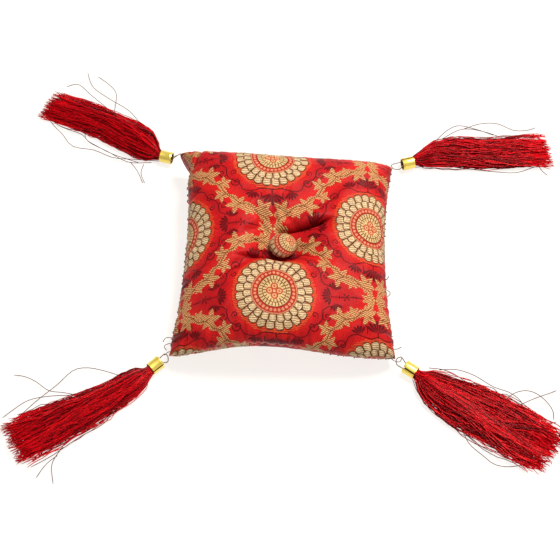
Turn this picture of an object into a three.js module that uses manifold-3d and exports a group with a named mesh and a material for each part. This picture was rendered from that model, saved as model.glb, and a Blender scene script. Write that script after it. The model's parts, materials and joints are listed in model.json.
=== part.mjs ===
// A small square brocade cushion, sewn from two panels and stuffed, with a covered button tied down in
// the middle of its top and a tassel on a thread loop at each corner. It lies on its back.
// Millimetres, +Z up, +X to the right and +Y away from the near edge. The origin is the middle of the
// flat underside, on the surface that the cushion and its tassels lie on.
import * as THREE from "three";
import { mergeVertices } from "three/addons/utils/BufferGeometryUtils.js";
import Module from "manifold-3d";

const wasm = await Module();
wasm.setup();

// Driving dimensions of the cushion.
const GRID = 40; // cells along each side of the top panel
const GRID_CROWDING = 0.1; // draws grid lines towards the button and the seams
const CROWN_RISE = 19.3; // fullest height of the top above the seam
const CROWN_STEEP = 0.4; // how steeply the top leaves the seam; less is steeper
const BULGE_SHARE = 6; // how close to the seam the walls of the top stand out past it
const BASE_SHARE = 0.76; // flat underside, as a share of the outline
const BASE_RINGS = 5; // rings of faces between the seam and the flat underside
const SOFT_GAP = 0.3; // clearance kept between two pieces that touch

// The four corners, in order round the outline.
const CORNERS = [
  { name: "near_left", x: -55, y: -54.5, z: 6 },
  { name: "near_right", x: 53, y: -56, z: 6 },
  { name: "far_right", x: 56.5, y: 51, z: 9 },
  { name: "far_left", x: -54, y: 56, z: 15 },
];

// The seam from each corner to the next: how far its middle is drawn in and lifted, where along it that
// is most, how sharply, and a pucker beside an ear. Then the top beside it: how far the fullness reaches
// towards the seam, and how far its wall stands out past it.
const SEAMS = [
  {
    name: "near", drawn_in: 3.2, lift: 8.8, peak: 0.4, sharp: 3, pucker: 0, pucker_at: 0.5,
    square: 9, bulge: 4.5,
  },
  {
    name: "right", drawn_in: 5.6, lift: 3, peak: 0.5, sharp: 0.8, pucker: 0, pucker_at: 0.5,
    square: 5, bulge: 0.6,
  },
  {
    name: "far", drawn_in: 3.1, lift: 0.6, peak: 0.5, sharp: 0.85, pucker: 0, pucker_at: 0.5,
    square: 6.5, bulge: 0,
  },
  {
    name: "left", drawn_in: 6.9, lift: 2, peak: 0.4, sharp: 0.8, pucker: 2.4, pucker_at: 0.1,
    square: 3.1, bulge: 0.6,
  },
];
const [NEAR, RIGHT, FAR, LEFT] = SEAMS;
const PUCKER_WIDTH = 0.05; // share of the seam's length

// The covered button and the hollow that it is tied down into, which reaches further on the far side.
const BUTTON = { x: -0.6, y: -6.6, radius: 6.6, height: 7, seat: 25 };
const HOLLOW = { floor: 7.4, reach: 9, further: 5.5, fall: 1.3 };

// Folds that run out beside the button: where they start, their heading in degrees from +X, their
// length, how deep they are at most, and how wide. FOLD_LEAN under 1 puts the deepest place nearer the
// button.
const FOLD_LEAN = 0.7;
const FOLDS = [
  { name: "upper_right", x: -3, y: 1.2, heading: 8, length: 31, depth: 6.5, half_width: 2.4 },
  { name: "lower_left", x: -5, y: -10.5, heading: 206, length: 30, depth: 4, half_width: 3.6 },
  { name: "lower_right", x: 4, y: -8.5, heading: 335, length: 20, depth: 3, half_width: 4 },
  { name: "upper_left", x: -4, y: -2, heading: 128, length: 26, depth: 2.5, half_width: 5 },
];

// Driving dimensions of a tassel. Its cap lies on the surface, so its axis is one radius up.
const CAP = { length: 6.2, radius: 3.4, wall: 0.35, lip: 0.25, lip_length: 0.9, slit: 0.45 };
const CAP_SIDES = 24;
const HEAD = { depth: 4.6, collar: 2, collar_radius: 2.95, flare: 0.3, root: 0.5, sides: 16 };
const STRAND_LENGTH = 71;
const STRAND_UNEVEN = 2.8; // the shortest strand is twice this below the longest
const STRAND_SIDES = 3;
const STRAND_TURN = 0.125; // share of its length in which a strand takes up its own heading
const LOOP = { thread: 0.6, half_width: 1.6, clear: 0.5, shoulder: 0.55, arc_steps: 3, steps: 16 };

// The strands lie in layers: how many, their height above the cap's axis at the head, and how wide the
// layer is there and where the tassel has spread.
const LAYERS = [
  { strands: 10, head_height: -1.8, head_half: 2.35, spread: 0.97 },
  { strands: 11, head_height: -0.6, head_half: 2.85, spread: 1 },
  { strands: 11, head_height: 0.6, head_half: 2.85, spread: 0.9 },
  { strands: 8, head_height: 1.8, head_half: 2.35, spread: 0.66 },
];

// Sections along a strand: share of its length, radius, and how far it has gone from its place in the
// head to its place in the spread layer.
const STRAND_SECTIONS = [
  { along: 0, radius: 0.18, laid: 0 },
  { along: 0.09, radius: 0.33, laid: 0.6 },
  { along: 0.2, radius: 0.6, laid: 0.94 },
  { along: 0.36, radius: 0.78, laid: 1 },
  { along: 0.56, radius: 0.78, laid: 1 },
  { along: 0.78, radius: 0.72, laid: 1 },
  { along: 1, radius: 0.36, laid: 1 },
];
const LAYER_STEP = 1.75; // height from one layer of strands to the next

// Each tassel: where its cap's mouth is, the cap's heading, the heading of its strands, and at each
// section along them how far they swing sideways and how wide they spread.
const TASSELS = [
  {
    name: "near_left", x: -63.6, y: -60.4, cap_heading: -138, heading: -149.7,
    swing: [0, 0.8, 2, 2.4, 2.4, 1.6, 0], half_width: [2.9, 6.4, 8.4, 8.8, 10.2, 11.6, 12],
  },
  {
    name: "near_right", x: 62.5, y: -62.5, cap_heading: -36, heading: -33.5,
    swing: [0, -0.2, -0.8, -1, -0.8, -0.2, 0.4], half_width: [2.9, 6.4, 9.6, 11.2, 12, 12.4, 12],
  },
  {
    name: "far_right", x: 68.4, y: 59.2, cap_heading: 15, heading: 4.6,
    swing: [0, 2.6, 4.9, 5, 3.6, 3, 2.6], half_width: [2.9, 5.8, 8.4, 10, 10.2, 10.2, 10.8],
  },
  {
    name: "far_left", x: -65, y: 63.2, cap_heading: 164, heading: 150.9,
    swing: [0, -0.6, -2.2, -4, -4.4, -3.4, -1.4], half_width: [2.9, 6.6, 9.4, 9.8, 9.8, 10, 10],
  },
];

const COLOURS = { brocade: 0xc81e22, button: 0xc0392b, gold: 0xe0b23a, thread: 0x8a5a3c, silk: 0xb0101c };

const corner = (i) => new THREE.Vector3(CORNERS[i].x, CORNERS[i].y, CORNERS[i].z);
const along = (heading) => new THREE.Vector3(Math.cos(heading), Math.sin(heading), 0);
const smooth = (t) => t * t * (3 - 2 * t);
const clamp = (t) => Math.min(1, Math.max(0, t));

// A closed solid from points and triangles, for booleans.
function solid(geometry) {
  const bare = geometry.index ? geometry.toNonIndexed() : geometry.clone();
  bare.deleteAttribute("normal");
  bare.deleteAttribute("uv");
  const merged = mergeVertices(bare, 1e-4);
  return new wasm.Manifold(
    new wasm.Mesh({
      numProp: 3,
      vertProperties: merged.attributes.position.array,
      triVerts: new Uint32Array(merged.index.array),
    }),
  );
}

function geometryOf(manifold) {
  const mesh = manifold.getMesh();
  const geometry = new THREE.BufferGeometry();
  geometry.setAttribute("position", new THREE.BufferAttribute(mesh.vertProperties, 3));
  geometry.setIndex(new THREE.BufferAttribute(mesh.triVerts, 1));
  geometry.computeVertexNormals();
  return geometry;
}

function indexed(points, triangles) {
  const geometry = new THREE.BufferGeometry();
  geometry.setFromPoints(points);
  geometry.setIndex(triangles.flat());
  geometry.computeVertexNormals();
  return geometry;
}

function named(name, geometry, color, roughness, metalness = 0) {
  const mesh = new THREE.Mesh(geometry, new THREE.MeshStandardMaterial({ color, roughness, metalness }));
  mesh.name = name;
  return mesh;
}

// A point of the seam that starts at corner i, at share t of its length.
function seamPoint(i, t) {
  const seam = SEAMS[i];
  const a = corner(i);
  const b = corner((i + 1) % CORNERS.length);
  const point = a.clone().lerp(b, t);
  const run = b.clone().sub(a).setZ(0).normalize();
  const inward = new THREE.Vector3(-run.y, run.x, 0);
  const eased = t ** (Math.log(0.5) / Math.log(seam.peak));
  const bell = (4 * eased * (1 - eased)) ** seam.sharp;
  const pucker = seam.pucker * Math.exp(-(((t - seam.pucker_at) / PUCKER_WIDTH) ** 2));
  point.addScaledVector(inward, seam.drawn_in * bell + pucker);
  point.z += seam.lift * bell;
  return point;
}

// The surface that the four seams span, with u and v from -1 to 1 across the panel.
function spanned(u, v) {
  const s = (u + 1) / 2;
  const t = (v + 1) / 2;
  const near = seamPoint(0, s);
  const right = seamPoint(1, t);
  const far = seamPoint(2, 1 - s);
  const left = seamPoint(3, 1 - t);
  const point = near.multiplyScalar(1 - t).addScaledVector(far, t);
  point.addScaledVector(left, 1 - s).addScaledVector(right, s);
  point.addScaledVector(corner(0), -(1 - s) * (1 - t)).addScaledVector(corner(1), -s * (1 - t));
  point.addScaledVector(corner(2), -s * t).addScaledVector(corner(3), -(1 - s) * t);
  return point;
}

// How full the top is at t from -1 to 1 between two facing seams.
function fullness(t, before, after) {
  return (1 - Math.abs(t) ** (t < 0 ? before : after).square) ** CROWN_STEEP;
}

// How far the wall of the top stands out past the seam, where the top is as full as given.
function wallBulge(t, full, before, after) {
  const out = (t < 0 ? -before.bulge : after.bulge) * Math.sin(Math.PI * full);
  return out * Math.abs(t) ** BULGE_SHARE;
}

// How far the folds lower the top at a place.
function foldDepth(x, y) {
  let depth = 0;
  for (const fold of FOLDS) {
    const heading = THREE.MathUtils.degToRad(fold.heading);
    const dx = x - fold.x;
    const dy = y - fold.y;
    const out = dx * Math.cos(heading) + dy * Math.sin(heading);
    const across = -dx * Math.sin(heading) + dy * Math.cos(heading);
    const profile = Math.sin(Math.PI * clamp(out / fold.length) ** FOLD_LEAN);
    depth += fold.depth * profile * Math.exp(-((across / fold.half_width) ** 2));
  }
  return depth;
}

// A point of the stuffed top panel.
function topPoint(u, v) {
  const point = spanned(u, v);
  const across = fullness(u, LEFT, RIGHT);
  const up = fullness(v, NEAR, FAR);
  point.x += wallBulge(u, across, LEFT, RIGHT) * up;
  point.y += wallBulge(v, up, NEAR, FAR) * across;
  const dx = point.x - BUTTON.x;
  const dy = point.y - BUTTON.y;
  const distance = Math.hypot(dx, dy);
  const reach = HOLLOW.reach + (HOLLOW.further * dy) / Math.max(distance, HOLLOW.floor);
  const tied = Math.exp(-((Math.max(0, distance - HOLLOW.floor) / reach) ** HOLLOW.fall));
  const crown = point.z + CROWN_RISE * across * up - foldDepth(point.x, point.y);
  point.z = crown + (BUTTON.seat - crown) * tied;
  return point;
}

// The grid lines of a panel, closer together at the button and at the seams.
function gridLine(i) {
  const t = (2 * i) / GRID - 1;
  return t - GRID_CROWDING * Math.sin(2 * Math.PI * t);
}

function cushionGeometry() {
  const points = [];
  const triangles = [];
  const quad = (a, b, c, d) => triangles.push([a, b, c], [a, c, d]);
  const at = (i, j) => j * (GRID + 1) + i;
  for (let j = 0; j <= GRID; j++) {
    for (let i = 0; i <= GRID; i++) {
      points.push(topPoint(gridLine(i), gridLine(j)));
    }
  }
  for (let j = 0; j < GRID; j++) {
    for (let i = 0; i < GRID; i++) {
      quad(at(i, j), at(i + 1, j), at(i + 1, j + 1), at(i, j + 1));
    }
  }
  // The seam, anticlockwise from the near left corner, and then rings down to the flat underside.
  let ring = [];
  for (let i = 0; i < GRID; i++) ring.push(at(i, 0));
  for (let j = 0; j < GRID; j++) ring.push(at(GRID, j));
  for (let i = GRID; i > 0; i--) ring.push(at(i, GRID));
  for (let j = GRID; j > 0; j--) ring.push(at(0, j));
  const seam = ring.map((index) => points[index]);
  for (let k = 1; k <= BASE_RINGS; k++) {
    const turn = (Math.PI / 2) * (k / BASE_RINGS);
    const share = BASE_SHARE + (1 - BASE_SHARE) * Math.cos(turn);
    const lower = seam.map((p) => {
      const z = k === BASE_RINGS ? 0 : p.z * (1 - Math.sin(turn));
      return points.push(new THREE.Vector3(p.x * share, p.y * share, z)) - 1;
    });
    ring.forEach((_, n) => {
      const next = (n + 1) % ring.length;
      quad(ring[next], ring[n], lower[n], lower[next]);
    });
    ring = lower;
  }
  const middle = points.push(new THREE.Vector3()) - 1;
  ring.forEach((index, n) => triangles.push([middle, ring[(n + 1) % ring.length], index]));
  return indexed(points, triangles);
}

// The covered button: a domed cap over a flat back.
function buttonMesh() {
  const { radius, height } = BUTTON;
  const profile = [
    [0, 0], [0.74, 0], [0.92, 0.08], [1, 0.26], [0.98, 0.46],
    [0.88, 0.68], [0.68, 0.86], [0.38, 0.97], [0, 1],
  ].map(([r, z]) => new THREE.Vector2(r * radius, z * height));
  const geometry = new THREE.LatheGeometry(profile, 24).rotateX(Math.PI / 2);
  const mesh = named("covered_button", geometry, COLOURS.button, 0.6);
  mesh.position.set(BUTTON.x, BUTTON.y, BUTTON.seat + SOFT_GAP);
  return mesh;
}

// A tassel's cap, along +X from its open back to its mouth at the origin: rolled from thin sheet, with a
// slit along its length and a rolled lip at the back.
function capGeometry() {
  const { length, radius, wall, lip, lip_length, slit } = CAP;
  const outer = radius - lip;
  const profile = [
    [outer - wall, 0], [outer, 0], [outer, lip_length - length], [radius, 0.7 * lip_length - length],
    [radius, 0.3 * lip_length - length], [outer, -length], [outer - wall, -length], [outer - wall, 0],
  ].map(([r, x]) => new THREE.Vector2(r, x));
  const tube = new THREE.LatheGeometry(profile.reverse(), CAP_SIDES).rotateZ(-Math.PI / 2);
  const cut = new THREE.BoxGeometry(2 * length + 2, slit, radius).translate(-length / 2, 0, outer);
  return geometryOf(solid(tube).subtract(solid(cut.rotateX(-Math.PI / 5))));
}

// A number from -1 to 1 that looks random but is the same each time.
function scatter(a, b) {
  const wave = Math.sin(a * 12.9898 + b * 78.233) * 43758.5453;
  return 2 * (wave - Math.floor(wave)) - 1;
}

// One strand: a run of small triangles, flat side down, from the head out along the surface.
function strandSolid(tassel, layer, level, n) {
  const turn = THREE.MathUtils.degToRad(tassel.heading - tassel.cap_heading);
  const place = (2 * n) / (layer.strands - 1) - 1;
  const length = STRAND_LENGTH - STRAND_UNEVEN * (1 - scatter(level + 1, n + 1));
  const points = [];
  const triangles = [];
  STRAND_SECTIONS.forEach((section, k) => {
    const run = HEAD.collar - HEAD.root + length * section.along;
    const side = along(turn * smooth(clamp(section.along / STRAND_TURN)));
    const centre = along(k === 0 ? 0 : turn).multiplyScalar(run);
    const across = new THREE.Vector3(-side.y, side.x, 0);
    const spread = tassel.half_width[k] * layer.spread;
    const half = layer.head_half + (spread - layer.head_half) * section.laid;
    const rest = section.radius / 2 + level * LAYER_STEP;
    const high = CAP.radius + layer.head_height;
    centre.addScaledVector(across, tassel.swing[k] + place * half);
    centre.z = high + (rest - high) * section.laid;
    for (let s = 0; s < STRAND_SIDES; s++) {
      const angle = Math.PI / 2 + (2 * Math.PI * s) / STRAND_SIDES;
      const point = centre.clone().addScaledVector(across, section.radius * Math.cos(angle));
      point.z += section.radius * Math.sin(angle);
      points.push(point);
    }
    if (k === 0) return;
    for (let s = 0; s < STRAND_SIDES; s++) {
      const a = (k - 1) * STRAND_SIDES + s;
      const b = (k - 1) * STRAND_SIDES + ((s + 1) % STRAND_SIDES);
      triangles.push([a, b, b + STRAND_SIDES], [a, b + STRAND_SIDES, a + STRAND_SIDES]);
    }
  });
  const last = points.length - STRAND_SIDES;
  triangles.push([0, 2, 1], [last, last + 1, last + 2]);
  return solid(indexed(points, triangles));
}

// A tassel's skirt in the cap's frame: the bound head inside the cap, and the strands fused into it.
function skirtGeometry(tassel) {
  const bore = CAP.radius - CAP.lip - CAP.wall - SOFT_GAP;
  const profile = [
    [0, -HEAD.depth], [bore, -HEAD.depth], [bore, SOFT_GAP], [HEAD.collar_radius, SOFT_GAP + HEAD.flare],
    [HEAD.collar_radius, HEAD.collar], [0, HEAD.collar],
  ].map(([r, x]) => new THREE.Vector2(r, x));
  const head = new THREE.LatheGeometry(profile, HEAD.sides).rotateZ(-Math.PI / 2);
  let skirt = solid(head.translate(0, 0, CAP.radius));
  LAYERS.forEach((layer, level) => {
    for (let n = 0; n < layer.strands; n++) skirt = skirt.add(strandSolid(tassel, layer, level, n));
  });
  return geometryOf(skirt);
}

// The thread loop of a tassel: both ends lie against the head inside the cap, and the bend is caught at
// the cushion's corner.
function loopGeometry(tassel, tip) {
  const out = along(THREE.MathUtils.degToRad(tassel.cap_heading));
  const mouth = new THREE.Vector3(tassel.x, tassel.y, CAP.radius);
  const start = mouth.clone().addScaledVector(out, -HEAD.depth - SOFT_GAP);
  const back = mouth.clone().addScaledVector(out, -CAP.length - LOOP.clear);
  const away = back.clone().sub(tip).normalize();
  const bend = tip.clone().addScaledVector(away, SOFT_GAP + LOOP.thread / 2);
  const turn = back.clone().lerp(bend, LOOP.shoulder);
  const sideways = (run) => new THREE.Vector3(-run.y, run.x, 0).normalize().multiplyScalar(LOOP.half_width);
  const one = [start, back].map((p) => p.clone().add(sideways(out))).concat(turn.clone().add(sideways(away)));
  const two = [start, back].map((p) => p.clone().sub(sideways(out))).concat(turn.clone().sub(sideways(away)));
  const path = new THREE.CatmullRomCurve3([...one, bend, ...two.reverse()], false, "centripetal");
  const section = new THREE.Shape().absarc(0, 0, LOOP.thread / 2, 0, 2 * Math.PI);
  return new THREE.ExtrudeGeometry(section, {
    steps: LOOP.steps, curveSegments: LOOP.arc_steps, extrudePath: path,
  });
}

const cushion = named("cushion", cushionGeometry(), COLOURS.brocade, 0.55);
const part = new THREE.Group();
part.add(cushion, buttonMesh());

TASSELS.forEach((tassel, i) => {
  const frame = new THREE.Group();
  const heading = THREE.MathUtils.degToRad(tassel.cap_heading);
  frame.position.set(tassel.x, tassel.y, 0);
  frame.rotation.z = heading;
  const cap = named(`cap_${tassel.name}`, capGeometry(), COLOURS.gold, 0.3, 0.9);
  cap.position.z = CAP.radius;
  frame.add(cap, named(`skirt_${tassel.name}`, skirtGeometry(tassel), COLOURS.silk, 0.6));
  part.add(frame, named(`loop_${tassel.name}`, loopGeometry(tassel, corner(i)), COLOURS.thread, 0.7));
});

export default part;
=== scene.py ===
import json
import math

import bpy
import numpy as np
from mathutils import Matrix, Vector

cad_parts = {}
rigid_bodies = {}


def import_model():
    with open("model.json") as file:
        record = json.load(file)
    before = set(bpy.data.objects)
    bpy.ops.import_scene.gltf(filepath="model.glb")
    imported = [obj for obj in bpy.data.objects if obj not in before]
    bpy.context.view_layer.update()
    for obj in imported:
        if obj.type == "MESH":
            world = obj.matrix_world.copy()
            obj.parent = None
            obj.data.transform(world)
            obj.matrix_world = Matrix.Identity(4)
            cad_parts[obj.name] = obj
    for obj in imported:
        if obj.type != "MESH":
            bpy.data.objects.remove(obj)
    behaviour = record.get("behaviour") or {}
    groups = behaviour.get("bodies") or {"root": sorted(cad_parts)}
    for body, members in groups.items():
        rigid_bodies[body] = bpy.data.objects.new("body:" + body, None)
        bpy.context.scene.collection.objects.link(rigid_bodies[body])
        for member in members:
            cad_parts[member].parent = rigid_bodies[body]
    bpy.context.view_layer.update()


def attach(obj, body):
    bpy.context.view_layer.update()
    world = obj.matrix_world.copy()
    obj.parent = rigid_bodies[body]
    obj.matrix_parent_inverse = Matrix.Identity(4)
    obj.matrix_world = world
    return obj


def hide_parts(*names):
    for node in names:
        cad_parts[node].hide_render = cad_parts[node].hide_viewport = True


bl_info = {
    "name": "Tasselled brocade cushion",
    "version": (1, 0, 0),
    "blender": (4, 5, 0),
    "location": "View3D > Sidebar > Cushion",
    "description": "Builds a stuffed brocade cushion with a covered button and four tassels",
    "category": "Add Mesh",
}

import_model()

MM = 0.001
TAU = 2 * math.pi


def table(columns, *rows):
    """Rows of a table, each as a dict by the names of the columns."""
    return [dict(zip(columns.split(), row)) for row in rows]


# The four corners of the cushion, in order round its outline.
CORNERS = np.array([(-55, -54.5, 6), (53, -56, 6), (56.5, 51, 9), (-54, 56, 15)], float)

# The seam from each corner to the next, and how square and how bulging the top is beside it.
SEAMS = table(
    "name drawn_in lift peak sharp pucker pucker_at square bulge",
    ("near", 3.2, 8.8, 0.4, 3, 0, 0.5, 9, 4.5),
    ("right", 5.6, 3, 0.5, 0.8, 0, 0.5, 5, 0.6),
    ("far", 3.1, 0.6, 0.5, 0.85, 0, 0.5, 6.5, 0),
    ("left", 6.9, 2, 0.4, 0.8, 2.4, 0.1, 3.1, 0.6),
)
NEAR, RIGHT, FAR, LEFT = SEAMS
PUCKER_WIDTH = 0.05
CROWN_RISE = 19.3
CROWN_STEEP = 0.4
BULGE_SHARE = 6
BASE_SHARE = 0.76
BASE_START = 0.7  # how far out from the middle of the underside panel it stops being flat
BUTTON = dict(x=-0.6, y=-6.6, radius=6.6, seat=25)
HOLLOW = dict(floor=7.4, reach=9, further=5.5, fall=1.3)
FOLD_LEAN = 0.7
FOLDS = table(
    "name x y heading length depth half_width",
    ("upper_right", -3, 1.2, 8, 31, 6.5, 2.4),
    ("lower_left", -5, -10.5, 206, 30, 4, 3.6),
    ("lower_right", 4, -8.5, 335, 20, 3, 4),
    ("upper_left", -4, -2, 128, 26, 2.5, 5),
)

# The tassels: where each cap's mouth is, the headings of the cap and of its threads, and at each section
# along the threads how far they swing sideways and how wide they spread.
CAP = dict(length=6.2, radius=3.4, wall=0.35, lip=0.25)
HEAD_DEPTH = 4.6
HEAD_COLLAR = 2
THREAD_LENGTH = 71
SECTIONS = np.array([0, 0.09, 0.2, 0.36, 0.56, 0.78, 1])
TASSELS = [
    dict(
        name="near_left", x=-63.6, y=-60.4, cap_heading=-138, heading=-149.7, slit_turn=2.05,
        swing=[0, 0.8, 2, 2.4, 2.4, 1.6, 0], half_width=[2.9, 4.6, 6, 6.6, 8, 9.8, 11.2],
    ),
    dict(
        name="near_right", x=62.5, y=-62.5, cap_heading=-36, heading=-33.5, slit_turn=-2.45,
        swing=[0, -0.2, -0.8, -1, -0.8, -0.2, 0.4], half_width=[2.9, 4.9, 7.6, 9.4, 10.8, 11.6, 11.4],
    ),
    dict(
        name="far_right", x=68.4, y=59.2, cap_heading=15, heading=4.6, slit_turn=2.75,
        swing=[0, 2.6, 4.9, 5, 3.6, 3, 2.6], half_width=[2.9, 4.7, 7.2, 9, 9, 8.8, 8.8],
    ),
    dict(
        name="far_left", x=-65, y=63.2, cap_heading=164, heading=150.9, slit_turn=0.5,
        swing=[0, -0.6, -2.2, -4, -4.4, -3.4, -1.4], half_width=[2.9, 4.8, 7.8, 8.2, 8, 8, 8],
    ),
]
SKIRT_HEIGHT = [5.6, 6.2, 6.4, 6.2, 5.8, 5.2, 4.4]  # top of the threads above the floor, by section
LOOP = dict(thread=0.6, half_width=1.6, clear=0.5)
SOFT_GAP = 0.3


# Meshes.


def new_mesh(name, points, faces):
    """A mesh piece from points in millimetres, standing in the part's own place."""
    mesh = bpy.data.meshes.new(name)
    mesh.from_pydata([tuple(p) for p in np.asarray(points) * MM], [], faces)
    mesh.update()
    mesh.polygons.foreach_set("use_smooth", [True] * len(mesh.polygons))
    piece = bpy.data.objects.new(name, mesh)
    bpy.context.scene.collection.objects.link(piece)
    return piece


def coordinates(piece):
    flat = np.empty(len(piece.data.vertices) * 3, np.float32)
    piece.data.vertices.foreach_get("co", flat)
    return flat.reshape(-1, 3).astype(float)


def set_coordinates(piece, points):
    piece.data.vertices.foreach_set("co", points.astype(np.float32).ravel())
    piece.data.update()


def corner_points(mesh):
    """The number of the point at each corner of each face."""
    owner = np.empty(len(mesh.loops), np.int32)
    mesh.loops.foreach_get("vertex_index", owner)
    return owner


def write_map(layer, places):
    """Fills a UV map with a place for each corner of each face."""
    layer.data.foreach_set("uv", places.astype(np.float32).ravel())


def write_attribute(piece, name, values):
    """Keeps one number at each point of a piece, for its material to read."""
    numbers = piece.data.attributes.new(name, "FLOAT", "POINT")
    numbers.data.foreach_set("value", values.astype(np.float32))


def select_only(piece):
    for other in bpy.context.view_layer.objects:
        other.select_set(False)
    piece.select_set(True)
    bpy.context.view_layer.objects.active = piece


def apply_modifiers(piece):
    select_only(piece)
    for modifier in list(piece.modifiers):
        bpy.ops.object.modifier_apply(modifier=modifier.name)


def finish_piece(piece, material, slot, *replaced):
    piece.data.materials.clear()
    piece.data.materials.append(material)
    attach(piece, "root")
    if replaced:
        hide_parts(*replaced)


# Shape of the stuffed panels.


def falloff(distance, width):
    """1 at no distance, fading smoothly to nothing on both sides."""
    return np.exp(-((distance / width) ** 2))


def seam_directions(i):
    """Level unit directions along the seam that starts at corner i, and inwards from it."""
    run = (CORNERS[(i + 1) % 4] - CORNERS[i]) * (1, 1, 0)
    run /= np.linalg.norm(run)
    return run, np.array([-run[1], run[0], 0])


def seam_point(i, t):
    """Points of the seam that starts at corner i, at shares t of its length."""
    seam = SEAMS[i]
    a, b = CORNERS[i], CORNERS[(i + 1) % 4]
    t = np.clip(t, 1e-9, 1 - 1e-9)
    point = a + (b - a) * t[..., None]
    eased = t ** (math.log(0.5) / math.log(seam["peak"]))
    bell = (4 * eased * (1 - eased)) ** seam["sharp"]
    pucker = seam["pucker"] * falloff(t - seam["pucker_at"], PUCKER_WIDTH)
    point += seam_directions(i)[1] * (seam["drawn_in"] * bell + pucker)[..., None]
    point[..., 2] += seam["lift"] * bell
    return point


def spanned(u, v):
    """The surface that the four seams span, with u and v from -1 to 1."""
    s, t = (u + 1) / 2, (v + 1) / 2
    a, b = s[..., None], t[..., None]
    sides = seam_point(0, s) * (1 - b) + seam_point(2, 1 - s) * b
    sides += seam_point(3, 1 - t) * (1 - a) + seam_point(1, t) * a
    tips = CORNERS[0] * (1 - a) * (1 - b) + CORNERS[1] * a * (1 - b)
    tips += CORNERS[2] * a * b + CORNERS[3] * (1 - a) * b
    return sides - tips


def fullness(t, before, after):
    square = np.where(t < 0, before["square"], after["square"])
    return np.clip(1 - np.abs(t) ** square, 0, 1) ** CROWN_STEEP


def wall_bulge(t, full, before, after):
    out = np.where(t < 0, -before["bulge"], after["bulge"]) * np.sin(math.pi * full)
    return out * np.abs(t) ** BULGE_SHARE


def crown(u, v):
    """The stuffed top before it is tied down."""
    point = spanned(u, v)
    across, up = fullness(u, LEFT, RIGHT), fullness(v, NEAR, FAR)
    point[..., 0] += wall_bulge(u, across, LEFT, RIGHT) * up
    point[..., 1] += wall_bulge(v, up, NEAR, FAR) * across
    point[..., 2] += CROWN_RISE * across * up
    return point


def beside_fold(fold, x, y):
    """How far along a fold each place is, as a share of its length, and how far to its left."""
    heading = math.radians(fold["heading"])
    dx, dy = x - fold["x"], y - fold["y"]
    out = dx * math.cos(heading) + dy * math.sin(heading)
    return np.clip(out / fold["length"], 0, 1), dy * math.cos(heading) - dx * math.sin(heading)


def fold_depth(x, y):
    depth = np.zeros_like(x)
    for fold in FOLDS:
        share, across = beside_fold(fold, x, y)
        profile = np.sin(math.pi * share**FOLD_LEAN)
        depth += fold["depth"] * profile * falloff(across, fold["half_width"])
    return depth


def from_button(points):
    """Level distance from the button's middle."""
    return np.hypot(points[..., 0] - BUTTON["x"], points[..., 1] - BUTTON["y"])


def tied_top(u, v):
    """The top with the button's hollow and the folds that run out from it."""
    point = crown(u, v)
    distance = from_button(point)
    upward = (point[..., 1] - BUTTON["y"]) / np.maximum(distance, HOLLOW["floor"])
    reach = HOLLOW["reach"] + HOLLOW["further"] * upward
    tied = np.exp(-((np.maximum(0, distance - HOLLOW["floor"]) / reach) ** HOLLOW["fall"]))
    high = point[..., 2] - fold_depth(point[..., 0], point[..., 1])
    point[..., 2] = high + (BUTTON["seat"] - high) * tied
    return point


def underside(u, v):
    """The underside: round from the seam to where it rests flat."""
    ring = np.maximum(np.abs(u), np.abs(v))
    safe = np.maximum(ring, 1e-6)
    edge = spanned(u / safe, v / safe)
    turn = np.clip((1 - ring) / (1 - BASE_START), 0, 1) * math.pi / 2
    share = BASE_SHARE + (1 - BASE_SHARE) * np.cos(turn)
    share = np.where(ring < BASE_START, BASE_SHARE * ring / BASE_START, share)
    height = np.where(ring < BASE_START, 0, edge[..., 2] * (1 - np.sin(turn)))
    return np.stack([edge[..., 0] * share, edge[..., 1] * share, height], -1)


def grid_lines(cells, crowding):
    t = np.linspace(-1, 1, cells + 1)
    return t - crowding * np.sin(TAU * t)


# Cushion.

PANEL_CELLS = 108  # cells along each side of a panel before it is subdivided
PANEL_CROWDING = 0.09
WEAVE_START = (-4, -34.5)  # where the near medallion's middle is, in millimetres of cloth
WEAVE_TURN = math.radians(3)
# How far the weave is pulled askew towards a corner of the top, in millimetres of cloth.
WEAVE_PULLS = [
    dict(corner=(1, 1), across=3.5, along=-0.5),
    dict(corner=(-1, 1), across=0.5, along=-3.5),
]
UNDERSIDE_SHIFT = (31, 22)  # the underside is cut from another part of the cloth
UNDER = 10.0  # added to u in the panel map to mark the underside
PANEL_HALF = 55.0
STITCH_PITCH = 4.0
STITCH_PULLS = (1.0, 1.0, 0.35, 0.8)  # how hard the stitches of each seam draw the cloth in
# Two waves along the seam, in millimetres, by which the stitches are unevenly spaced.
STITCH_WAVES = table("size rate shift", (0.9, 0.31, 2), (0.5, 0.83, 1))
PINCH = dict(depth=0.5, rest=0.2, reach=1.6, ends=6)
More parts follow.
